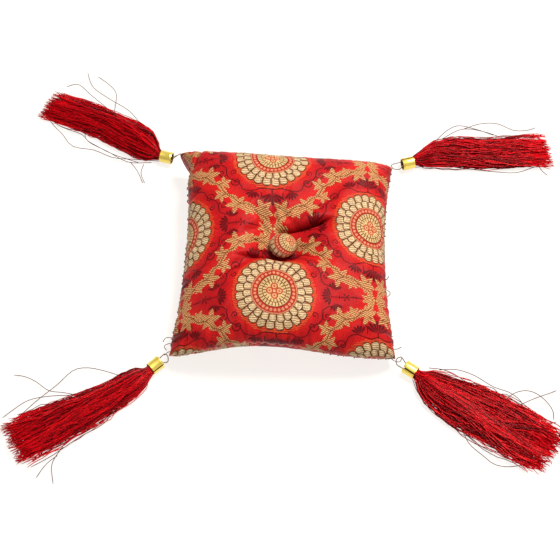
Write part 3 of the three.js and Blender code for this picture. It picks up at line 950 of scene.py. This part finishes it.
def srgb(red, green, blue):
    """A display colour from 0 to 255 as the linear colour that a shader takes."""
    shares = [c / 255 for c in (red, green, blue)]
    return tuple(c / 12.92 if c <= 0.04045 else ((c + 0.055) / 1.055) ** 2.4 for c in shares) + (1.0,)


STRAY_COLOUR = srgb(86, 14, 24)
SILK_ROUGHNESS = 0.34
# inside is the painted shade, a dark brown laid on the cap's inward-facing wall
GILT = dict(inside=srgb(112, 78, 20), roughness=0.3, metallic=0.6)


def feed(slot, value):
    """Gives a node's input its value: what another node works out, or a plain number or colour."""
    if isinstance(value, Drawn):
        value = value.socket
    if isinstance(value, bpy.types.NodeSocket):
        Drawn.tree.links.new(value, slot)
    else:
        slot.default_value = value


class Drawn:
    """A number worked out by nodes at each place of the cloth, written like an ordinary sum."""

    tree = None

    def __init__(self, socket):
        self.socket = socket

    @classmethod
    def node(cls, operation, *values):
        node = cls.tree.nodes.new("ShaderNodeMath")
        node.operation = operation
        for slot, value in zip(node.inputs, values):
            feed(slot, value)
        return cls(node.outputs[0])

    def __add__(self, other):
        return self.node("ADD", self, other)

    def __radd__(self, other):
        return self.node("ADD", other, self)

    def __sub__(self, other):
        return self.node("SUBTRACT", self, other)

    def __rsub__(self, other):
        return self.node("SUBTRACT", other, self)

    def __mul__(self, other):
        return self.node("MULTIPLY", self, other)

    def __rmul__(self, other):
        return self.node("MULTIPLY", other, self)

    def __truediv__(self, other):
        return self.node("DIVIDE", self, other)

    def __abs__(self):
        return self.node("ABSOLUTE", self)

    def __lt__(self, other):
        return self.node("LESS_THAN", self, other)

    def __gt__(self, other):
        return self.node("GREATER_THAN", self, other)

    def __or__(self, other):
        return self.node("MAXIMUM", self, other)

    def __and__(self, other):
        return self.node("MULTIPLY", self, other)

    def without(self, other):
        return self.node("MULTIPLY", self, 1 - other)

    def share(self):
        return self.node("FRACT", self)

    def near(self, middle, half):
        """1 within half of the middle, and 0 elsewhere."""
        return abs(self - middle) < half

    def ramp(self, low, high):
        """0 at low, 1 at high, and smooth between."""
        node = self.tree.nodes.new("ShaderNodeMapRange")
        node.interpolation_type = "SMOOTHSTEP"
        for name, value in (("Value", self), ("From Min", low), ("From Max", high)):
            feed(node.inputs[name], value)
        return Drawn(node.outputs["Result"])


def sine(value):
    return Drawn.node("SINE", value)


def far_from(x, y):
    return Drawn.node("SQRT", x * x + y * y)


def angle_of(x, y):
    return Drawn.node("ARCTAN2", y, x)


def painted(under, colour, where):
    """One colour laid over another where a mask says."""
    node = Drawn.tree.nodes.new("ShaderNodeMix")
    node.data_type = "RGBA"
    for number, value in ((0, where), (6, under), (7, colour)):
        feed(node.inputs[number], value)
    return node.outputs[2]


def noise(place, scale, detail=2.0):
    node = Drawn.tree.nodes.new("ShaderNodeTexNoise")
    for name, value in (("Vector", place), ("Scale", scale), ("Detail", detail)):
        feed(node.inputs[name], value)
    return Drawn(node.outputs["Fac"])


def attribute(name):
    """The number that a piece keeps at each of its points."""
    node = Drawn.tree.nodes.new("ShaderNodeAttribute")
    node.attribute_name = name
    return Drawn(node.outputs["Fac"])


def new_material(name, roughness):
    """A material whose nodes are drawn next, and its shader."""
    material = bpy.data.materials.new(name)
    material.use_nodes = True
    Drawn.tree = material.node_tree
    shader = material.node_tree.nodes["Principled BSDF"]
    shader.inputs["Roughness"].default_value = roughness
    return material, shader


def plain_material(name, colour, roughness):
    material, shader = new_material(name, roughness)
    shader.inputs["Base Color"].default_value = colour
    return material


def silk_material(look):
    """Shiny spun thread whose strands differ at random in depth of colour, with painted light on their
    tips, and the stray ones dark.
    """
    material, shader = new_material("tassel_silk", SILK_ROUGHNESS)
    place = Drawn.tree.nodes.new("ShaderNodeTexCoord").outputs["Object"]
    fleck = noise(place, 2200.0, 1.0).ramp(0.4, 0.62)
    tone = attribute("tone")
    # between dark and bright silk by each thread's random depth of colour, lightened at the tips by
    # painted light
    silk = painted(tuple(look.silk_shade), tuple(look.silk), (tone * 0.9 + fleck * 0.3).ramp(0.1, 1.1))
    feed(shader.inputs["Base Color"], painted(silk, STRAY_COLOUR, tone < STRAY_TONE / 2))
    shader.inputs["Specular IOR Level"].default_value = SHEEN
    return material


def gilt_material(look):
    """Bright gilt sheet, painted dark brown and dull where the wall faces inwards, as painted shade."""
    material, shader = new_material("gilt", GILT["roughness"])
    feed(shader.inputs["Base Color"], painted(tuple(look.gilt), GILT["inside"], attribute("inner")))
    shader.inputs["Metallic"].default_value = GILT["metallic"]
    return material


# Weave.

# The repeat of the design, in millimetres: half the distance between medallions, and their radius.
HALF_ACROSS = 49.3
HALF_UP = 38.5
MEDALLION = 18.7
# Colours of the weave beside those of the settings; fold is the colour of the painted shade in the
# creases and round the button.
WEAVE = dict(
    shadow=srgb(176, 14, 30), halo=srgb(236, 136, 66), vine_line=srgb(170, 34, 24),
    vein=srgb(142, 48, 28), petal_line=srgb(94, 40, 18), ochre=srgb(166, 98, 50),
    core=srgb(140, 34, 22), core_rim=srgb(232, 142, 100), core_ground=srgb(206, 46, 38),
    bead=srgb(238, 160, 118), disc=srgb(130, 36, 22), disc_ground=srgb(242, 208, 146),
    dash=srgb(120, 50, 22), boss=srgb(206, 78, 52), boss_line=srgb(240, 184, 128),
    twill=srgb(40, 4, 8), fold=srgb(52, 0, 8),
)
# The medallion's two rings of petals. Weave lines cover the share "line" of a petal, up to "side" across
# it, where the thread isn't "worn", and are as dark as "dark". Its edges darken from "fade" outwards.
PETAL_RINGS = table(
    "count phase outer roundness line worn side dark fade",
    (24, 0.1, MEDALLION, 1.5, 0.36, 0.32, 0.85, 0.9, 0.35),
    (22, 0.35, 15, 1.2, 0.32, 0.38, 0.8, 0.85, 0.3),
)
PETAL_OUTLINE = 0.55
TWILL = 0.42  # millimetres from one ridge of the twill to the next
WEAVE_DEPTH = 0.00025  # metres
WEAR = dict(twill=0.1, blotch=0.16, grain=0.3)  # how far each darkens the cloth
# how strongly the painted shade of the creases and of the ring round the button darkens the cloth
FOLD_SHADE_STRENGTH = 0.85
BEADS = dict(count=30, ring=9.2, radius=0.68)
# Dashes round the middle: their number, how far the first is turned, their width, ring and reach.
DASHES = ((28, 0, 0.32, 6.6, 0.8), (20, 0.4, 0.3, 4.7, 0.75))
# Leaves of the vine: place along and across it, size, turn, number of lobes and whether a vein shows.
LEAVES = [
    (-10.6, -2.8, 4.7, 0.5, 5, True),
    (22.6, -3.4, 4.5, 1.1, 5, True),
    (-1.4, -3.0, 3.3, 0.2, 5, True),
    (-17.4, -1.6, 2.7, 0.7, 5, False),
    (28.0, 2.0, 3.0, 0.3, 5, False),
]
# One quarter of the dark motifs. Side-on lotuses: place, heading, petals, inner and outer reach, spread.
FANS = [
    ((27.6, 0), math.pi, 7, 0.7, 5.2, 2.6),
    ((28.8, 3.2), 1.35, 5, 0.4, 4.4, 2.0),
    ((0, 21.8), math.pi / 2, 7, 0.8, 6.8, 2.4),
    ((9.0, 20.8), 1.3, 5, 0.6, 4.8, 2.0),
]
# Small flowers: place, turn, petals and size.
SPRIGS = [
    ((34.0, 0), 0.6, 5, 2.6),
    ((38.2, 0), 0.5, 3, 1.3),
]
# Stems and tendrils: both ends, width and bow.
TENDRIL = 0.52
STEMS = [
    ((27.2, 0), (42, 0), 0.42, 0),
    ((0, 19.6), (0, 22.6), 0.6, 0),
    ((27.6, 5.0), (22.6, 7.6), TENDRIL, 0.6),
    ((22.6, 7.6), (20.4, 14.0), TENDRIL, -0.9),
    ((20.4, 14.0), (15.0, 19.4), TENDRIL, 1.1),
    ((15.0, 19.4), (9.0, 20.6), TENDRIL, -0.8),
    ((9.0, 20.6), (0.3, 20.2), TENDRIL, 0.9),
    ((5.6, 21.4), (6.8, 26.4), TENDRIL, 0.8),
]
# Curls beside them: the middle, how wide, how many turns, where it starts and which way it winds.
CURLS = [
    ((24.6, 10.2), 2.5, 1.5, 0.6, -1),
    ((17.8, 15.6), 2.7, 1.5, 0.1, 1),
    ((6.4, 27.0), 1.8, 1.3, 0.2, 1),
    ((18.8, 10.2), 1.7, 1.3, 0.3, -1),
]


def petals(rho, phi, ring):
    """A ring of petals with round ends: where they are, where their outlines are, and how far across."""
    count, line = ring["count"], PETAL_OUTLINE
    across = abs((phi * (count / TAU) + ring["phase"]).share() - 0.5) * 2
    end = ring["outer"] - ring["roundness"] * across * across * across
    gap = (1 - across) * rho * (math.pi / count)
    inside = rho < end
    return inside, ((gap < line * 0.55) | (rho > end - line)) & inside, across


def fan(x, y, at, heading, count, inner, outer, spread):
    """Slender petals that open from a point: a lotus seen from the side."""
    dx, dy = x - at[0], y - at[1]
    c, s = math.cos(heading), math.sin(heading)
    out, off = dx * c + dy * s, dy * c - dx * s
    rho, phi = far_from(out, off), angle_of(out, off)
    across = abs((phi * (count / spread) + count / 2).share() - 0.5) * 2
    ends = rho.ramp(outer + 0.3, outer - 1.3) & rho.ramp(inner - 0.8, inner + 1.3)
    return (across < 0.84 * ends) & (abs(phi) < spread / 2)


def sprig(x, y, at, heading, count, size):
    """Petals all round a point."""
    dx, dy = x - at[0], y - at[1]
    rho, phi = far_from(dx, dy), angle_of(dx, dy)
    wave = sine((phi - heading) * float(count) + math.pi / 2)
    return (wave * rho.ramp(size, size * 0.5) > 0.3) & (rho > 0.35)


def spiral(x, y, at, size, turns, phase, hand):
    """A curl that winds in to its middle."""
    dx, dy = x - at[0], y - at[1]
    rho, phi = far_from(dx, dy), angle_of(dx, dy)
    pitch = size / turns
    wound = (rho / pitch + phi * (hand / TAU) + phase).share()
    return wound.near(0.5, TENDRIL / pitch / 2) & (rho < size)


def stroke(x, y, a, b, line, bow):
    """A thin bowed line from a to b."""
    run = math.dist(a, b)
    c, s = (b[0] - a[0]) / run, (b[1] - a[1]) / run
    dx, dy = x - a[0], y - a[1]
    along, off = dx * c + dy * s, dy * c - dx * s
    if bow:
        off = off - bow * sine(along * (math.pi / run))
    return (abs(off) < line / 2) & along.near(run / 2, run / 2)


def leaf(s, t, along, across, size, heading, lobes):
    """A broad leaf with sharp lobes."""
    ds, dt = s - along, t - across
    rho, phi = far_from(ds, dt), angle_of(ds, dt)
    wave = abs(((phi - heading) * (lobes / TAU)).share() - 0.5) * 2
    return rho < size * (0.4 + 0.68 * wave)


def lattice(s, t, thread):
    """The leafy vine on a side of the diamond: all of it, the dark lines in its weave, and its veins."""
    middle = 1.15 * sine(s * (TAU / 30)) + 0.5 * sine(s * (TAU / 9.5))
    ragged = 0.5 * thread + 0.35 * (s * 0.8).share()
    vine = abs(t - middle) < 0.75 + 0.4 * sine(abs(s) * (TAU / 6.2)) + ragged
    vein = (abs(t - middle) < 0.2) & (abs(s) < 27)
    for way in (1, -1):
        for along, across, size, heading, lobes, veined in LEAVES:
            along, across, turn = way * along, way * across, heading + (1 - way) * math.pi / 2
            vine = vine | leaf(s, t, along, across, size + ragged, turn, lobes)
            if veined:
                tip = (along * 1.02, across - way * 0.55 * size)
                vein = vein | stroke(s, t, (along - way * 3, 0), tip, 0.4, 0.6)
    hatch = ((s + 0.6 * t) * (1 / 1.05)).share()
    cross = ((t - 0.25 * s) * (1 / 1.3)).share()
    dark_line = (hatch < 0.42) | ((cross < 0.16) & (hatch < 0.76))
    return vine, vine & dark_line, vein & vine


def tendrils(ax, ay):
    """The dark stems, curls and flowers between the medallions."""
    dark = ax.near(31.2, 0.25) & (ay < 1.1)
    for draw, table in ((fan, FANS), (sprig, SPRIGS), (stroke, STEMS), (spiral, CURLS)):
        for row in table:
            dark = dark | draw(ax, ay, *row)
    return dark


def petalled(colour, petal, y, rho, phi, thread, ring):
    """A colour with a ring of petals laid over it, and where the petals and their outlines are."""
    inside, outline, across = petals(rho, phi, ring)
    fine = ((y * 0.95).share() < ring["line"]) & (thread > ring["worn"]) & (across < ring["side"])
    worn = (fine * ring["dark"]) | (across.ramp(ring["fade"], 1) * 0.6)
    colour = painted(colour, painted(petal, WEAVE["ochre"], worn), inside)
    return painted(colour, WEAVE["petal_line"], outline), inside, outline


def medallion_core(colour, ax, ay, rho, phi):
    """The medallion's middle: a beaded ring, and a disc with dashes and a four-lobed boss."""
    colour = painted(colour, WEAVE["core"], rho < 11.25)
    colour = painted(colour, WEAVE["core_rim"], rho.near(10.75, 0.3))
    colour = painted(colour, WEAVE["core_ground"], rho < 10.3)
    bead = abs((phi * (BEADS["count"] / TAU)).share() - 0.5) * 2
    colour = painted(colour, WEAVE["bead"], far_from(bead * 0.95, rho - BEADS["ring"]) < BEADS["radius"])
    colour = painted(colour, WEAVE["disc"], rho < 8.05)
    dashes = rho.near(5.6, 0.15)
    for count, turn, width, ring, reach in DASHES:
        dashes = dashes | (((phi * (count / TAU) + turn).share() < width) & rho.near(ring, reach))
    colour = painted(colour, painted(WEAVE["disc_ground"], WEAVE["dash"], dashes), rho < 7.6)
    boss = Drawn.node("MINIMUM", far_from(ax - 2.25, ay), far_from(ax, ay - 2.25))
    colour = painted(colour, WEAVE["boss"], boss < 1.75)
    return painted(colour, WEAVE["boss_line"], boss.near(0.775, 0.325))


def cloth_design(x, y, place, look):
    """The woven design: its colour, how high its threads stand, and how blotchy it is."""
    a, b = HALF_ACROSS, HALF_UP
    q1, q2 = x * (0.5 / a) + y * (0.5 / b), x * (0.5 / a) - y * (0.5 / b)
    r1, r2 = (q1 + 0.5).share() - 0.5, (q2 + 0.5).share() - 0.5
    mx, my = (r1 + r2) * a, (r1 - r2) * b
    ax, ay = abs(mx), abs(my)
    rho, phi = far_from(mx, my), angle_of(mx, my)
    side = math.hypot(a, b)
    s = (ay - b / 2) * (b / side) - (ax - a / 2) * (a / side)
    t = (ax * b + ay * a - a * b) / side

    blotch = noise(place, 60.0)
    thread = noise(place, 900.0, 1.0)
    shadow = t.ramp(-2.0, -6.0) & rho.ramp(20, 24)
    colour = painted(tuple(look.ground), WEAVE["shadow"], shadow * 0.5)
    halo = ((y * 1.2).share() < 0.4) & (rho < MEDALLION - 0.1 + 2.6 * thread)
    colour = painted(colour, WEAVE["halo"], halo * 0.6)

    vine, lines, vein = lattice(s, t, thread)
    gold = vine.without(lines)
    colour = painted(colour, WEAVE["vine_line"], lines)
    colour = painted(colour, tuple(look.vine), gold)
    colour = painted(colour, WEAVE["vein"], vein)
    dark = tendrils(ax, ay) & (rho > MEDALLION + 0.9)
    colour = painted(colour, tuple(look.motif), dark.without(vine))

    woven, outlines = gold, None
    for ring in PETAL_RINGS:
        colour, inside, outline = petalled(colour, tuple(look.petal), y, rho, phi, thread, ring)
        woven = woven | inside
        outlines = outline if outlines is None else outlines | outline
    colour = medallion_core(colour, ax, ay, rho, phi)
    height = woven.without(outlines) * 0.6 + halo * 0.2 + dark * 0.25
    return colour, height * (0.75 + 0.5 * thread), blotch


def brocade_material(look):
    """Woven brocade, with painted shade down in the folds and round the button."""
    material, shader = new_material("woven_brocade", 0.45)
    tree = material.node_tree
    flat = tree.nodes.new("ShaderNodeUVMap")
    flat.uv_map = "cloth"
    parts = tree.nodes.new("ShaderNodeSeparateXYZ")
    feed(parts.inputs["Vector"], flat.outputs["UV"])
    x, y = Drawn(parts.outputs["X"]) / MM, Drawn(parts.outputs["Y"]) / MM
    colour, height, blotch = cloth_design(x, y, flat.outputs["UV"], look)
    twill = sine((x + y) * (TAU / TWILL)) * 0.5 + 0.5
    grain = noise(flat.outputs["UV"], 1700.0, 1.0).ramp(0.62, 0.36)
    worn = (1 - twill) * WEAR["twill"] + (1 - blotch) * WEAR["blotch"] + grain * WEAR["grain"]
    colour = painted(colour, WEAVE["twill"], worn)
    # painted shade: darkens the cloth at the bottoms of the creases and round the button
    feed(shader.inputs["Base Color"], painted(colour, WEAVE["fold"], attribute("fold") * FOLD_SHADE_STRENGTH))
    shader.inputs["Specular IOR Level"].default_value = SHEEN
    bump = tree.nodes.new("ShaderNodeBump")
    bump.inputs["Strength"].default_value = 0.6
    bump.inputs["Distance"].default_value = WEAVE_DEPTH
    feed(bump.inputs["Height"], height + twill * 0.25)
    feed(shader.inputs["Normal"], bump.outputs["Normal"])
    return material


# Settings and operators.

WARM_WHITE = (1, 0.95, 0.88)
FLOOR = dict(size=30, grey=srgb(122, 122, 122), glow=srgb(255, 251, 247), strength=0.84, roughness=0.9)
SKY_STRENGTH = 0.28
SENSOR = 36
LENS = 72
AIM = (-0.002, -0.01, 0)  # where the camera looks, in metres
LAMPS = [
    dict(name="key", place=(0.4, 0.34, 1.08), size=0.3),
    dict(name="fill", place=(0.2, -0.9, 0.9), size=1.2),
    dict(name="top", place=(0.1, 0.1, 1.4), size=1.4),
]
COLOUR = dict(subtype="COLOR", size=4, min=0, max=1)


class BROCADE_PG_cloth(bpy.types.PropertyGroup):
    """Colours of the woven cloth"""

    ground: bpy.props.FloatVectorProperty(
        name="Ground", description="Colour of the cloth between its motifs",
        default=srgb(226, 30, 29), **COLOUR
    )
    motif: bpy.props.FloatVectorProperty(
        name="Dark motifs", description="Colour of the tendrils and small flowers",
        default=srgb(106, 6, 17), **COLOUR
    )
    vine: bpy.props.FloatVectorProperty(
        name="Vine", description="Colour of the leafy lattice",
        default=srgb(242, 200, 130), **COLOUR
    )
    petal: bpy.props.FloatVectorProperty(
        name="Petals", description="Colour of the medallions' petals",
        default=srgb(250, 226, 178), **COLOUR
    )
    stitch: bpy.props.FloatVectorProperty(
        name="Seam thread", description="Colour of the thread that overcasts the seam",
        default=srgb(70, 6, 16), **COLOUR
    )


class BROCADE_PG_tassels(bpy.types.PropertyGroup):
    """Colours and thread of the tassels"""

    silk: bpy.props.FloatVectorProperty(
        name="Silk", description="Brightest colour of the tassels' threads",
        default=srgb(232, 11, 26), **COLOUR
    )
    silk_shade: bpy.props.FloatVectorProperty(
        name="Dark silk", description="Darkest colour of the tassels' threads",
        default=srgb(94, 0, 8), **COLOUR
    )
    gilt: bpy.props.FloatVectorProperty(
        name="Gilt", description="Colour of the caps",
        default=srgb(255, 230, 112), **COLOUR
    )
    loop: bpy.props.FloatVectorProperty(
        name="Loop thread", description="Colour of the thread loops",
        default=srgb(112, 80, 50), **COLOUR
    )
    threads: bpy.props.IntProperty(
        name="Threads", description="Number of threads in each tassel", default=700, min=100, max=900,
    )
    thread_radius: bpy.props.FloatProperty(
        name="Thread radius", description="Radius of one thread",
        default=0.0002, min=0.0001, max=0.0005, precision=5, subtype="DISTANCE", unit="LENGTH",
    )


class BROCADE_PG_stage(bpy.types.PropertyGroup):
    """Lights and camera"""

    elevation: bpy.props.FloatProperty(
        name="Camera height angle", description="Angle of the camera's view above the floor",
        default=math.radians(61), subtype="ANGLE", unit="ROTATION",
    )
    distance: bpy.props.FloatProperty(
        name="Camera distance", description="Distance from the camera to the place it looks at",
        default=0.56, min=0.1, subtype="DISTANCE", unit="LENGTH",
    )
    key: bpy.props.FloatProperty(
        name="Key light", description="Power of the light on the right",
        default=16.5, min=0, unit="POWER",
    )
    top: bpy.props.FloatProperty(
        name="Top light", description="Power of the light overhead", default=4.5, min=0, unit="POWER",
    )
    fill: bpy.props.FloatProperty(
        name="Fill light", description="Power of the light in front",
        default=0.2, min=0, unit="POWER",
    )


class BROCADE_OT_cushion(bpy.types.Operator):
    """Build the stuffed brocade cushion"""

    bl_idname = "brocade.cushion"
    bl_label = "Cushion"

    def execute(self, context):
        look = context.scene.brocade_cloth
        piece, free = cushion_mesh()
        simulate(piece, free)
        finer = piece.modifiers.new("smooth", "SUBSURF")
        finer.levels = finer.render_levels = 1
        apply_modifiers(piece)
        u, v, under = panel_shares(piece)
        points, painted_shade = crease(coordinates(piece) / MM, under)
        set_coordinates(piece, seam_gather(points, u, v, under) * MM)
        # keeps the painted shade of the creases and of the ring round the button for the material
        write_attribute(piece, "fold", painted_shade)
        finish_piece(piece, brocade_material(look), "brocade", "cushion")
        thread = plain_material("overcast", tuple(look.stitch), 0.6)
        for stitches in (build_overcast(), build_frays()):
            finish_piece(stitches, thread, "loop_thread")
        return {"FINISHED"}


class BROCADE_OT_button(bpy.types.Operator):
    """Build the covered button"""

    bl_idname = "brocade.button"
    bl_label = "Covered button"

    def execute(self, context):
        cloth = bpy.data.materials["woven_brocade"]
        finish_piece(build_button(), cloth, "brocade", "covered_button")
        return {"FINISHED"}


class BROCADE_OT_tassels(bpy.types.Operator):
    """Build the threads, loops and caps of the four tassels"""

    bl_idname = "brocade.tassels"
    bl_label = "Tassels"

    def execute(self, context):
        look = context.scene.brocade_tassels
        silk = silk_material(look)
        gold = gilt_material(look)
        thread = plain_material("loop_thread", tuple(look.loop), 0.5)
        blank = cap_blank()
        for number, tassel in enumerate(TASSELS):
            name = tassel["name"]
            skirt = build_skirt(tassel, number, look.threads, look.thread_radius / MM)
            finish_piece(skirt, silk, "tassel_thread", f"skirt_{name}")
            finish_piece(build_loop(tassel, CORNERS[number]), thread, "loop_thread", f"loop_{name}")
            finish_piece(place_cap(blank, tassel), gold, "gilt_cap", f"cap_{name}")
        bpy.data.objects.remove(blank)
        return {"FINISHED"}


class BROCADE_OT_stage(bpy.types.Operator):
    """Set the floor, the lights and the camera"""

    bl_idname = "brocade.stage"
    bl_label = "Stage"

    def execute(self, context):
        look = context.scene.brocade_stage
        scene = context.scene
        bpy.ops.object.select_all(action="DESELECT")
        bpy.ops.mesh.primitive_plane_add(size=FLOOR["size"])
        floor = context.object
        floor.name = "floor"
        pale, shader = new_material("pale_floor", FLOOR["roughness"])
        shader.inputs["Base Color"].default_value = FLOOR["grey"]
        shader.inputs["Emission Color"].default_value = FLOOR["glow"]
        shader.inputs["Emission Strength"].default_value = FLOOR["strength"]
        floor.data.materials.append(pale)
        scene.camera = bpy.data.objects.new("camera", bpy.data.cameras.new("camera"))
        scene.collection.objects.link(scene.camera)
        back = Vector((0, -math.cos(look.elevation), math.sin(look.elevation)))
        scene.camera.location = Vector(AIM) + look.distance * back
        scene.camera.rotation_euler = (math.pi / 2 - look.elevation, 0, 0)
        scene.camera.data.sensor_width = SENSOR
        scene.camera.data.lens = LENS
        scene.camera.data.clip_start = 0.01
        for row in LAMPS:
            light = bpy.data.lights.new(row["name"], "AREA")
            light.size, light.energy = row["size"], getattr(look, row["name"])
            light.color = WARM_WHITE
            lamp = bpy.data.objects.new(row["name"], light)
            lamp.location = row["place"]
            lamp.rotation_euler = (-Vector(row["place"])).to_track_quat("-Z", "Y").to_euler()
            scene.collection.objects.link(lamp)
        scene.world = scene.world or bpy.data.worlds.new("world")
        scene.world.use_nodes = True
        sky = scene.world.node_tree.nodes["Background"]
        sky.inputs["Color"].default_value = (*WARM_WHITE, 1)
        sky.inputs["Strength"].default_value = SKY_STRENGTH
        scene.view_settings.view_transform = "Standard"
        return {"FINISHED"}


class BROCADE_PT_panel(bpy.types.Panel):
    """The steps and their settings"""

    bl_label = "Cushion"
    bl_idname = "BROCADE_PT_panel"
    bl_space_type = "VIEW_3D"
    bl_region_type = "UI"
    bl_category = "Cushion"

    def draw(self, context):
        for name in SETTINGS:
            settings = getattr(context.scene, name)
            box = self.layout.box()
            for key in settings.bl_rna.properties.keys():
                if key not in ("rna_type", "name"):
                    box.prop(settings, key)
        for operator in OPERATORS:
            self.layout.operator(operator.bl_idname)


OPERATORS = (BROCADE_OT_cushion, BROCADE_OT_button, BROCADE_OT_tassels, BROCADE_OT_stage)
SETTINGS = {
    "brocade_cloth": BROCADE_PG_cloth,
    "brocade_tassels": BROCADE_PG_tassels,
    "brocade_stage": BROCADE_PG_stage,
}


def register():
    for cls in (*SETTINGS.values(), *OPERATORS, BROCADE_PT_panel):
        bpy.utils.register_class(cls)
    for name, group in SETTINGS.items():
        setattr(bpy.types.Scene, name, bpy.props.PointerProperty(type=group))


def unregister():
    for name in SETTINGS:
        delattr(bpy.types.Scene, name)
    for cls in reversed((*SETTINGS.values(), *OPERATORS, BROCADE_PT_panel)):
        bpy.utils.unregister_class(cls)


def main():
    register()
    bpy.ops.brocade.cushion()
    bpy.ops.brocade.button()
    bpy.ops.brocade.tassels()
    bpy.ops.brocade.stage()


if __name__ == "__main__":
    main()
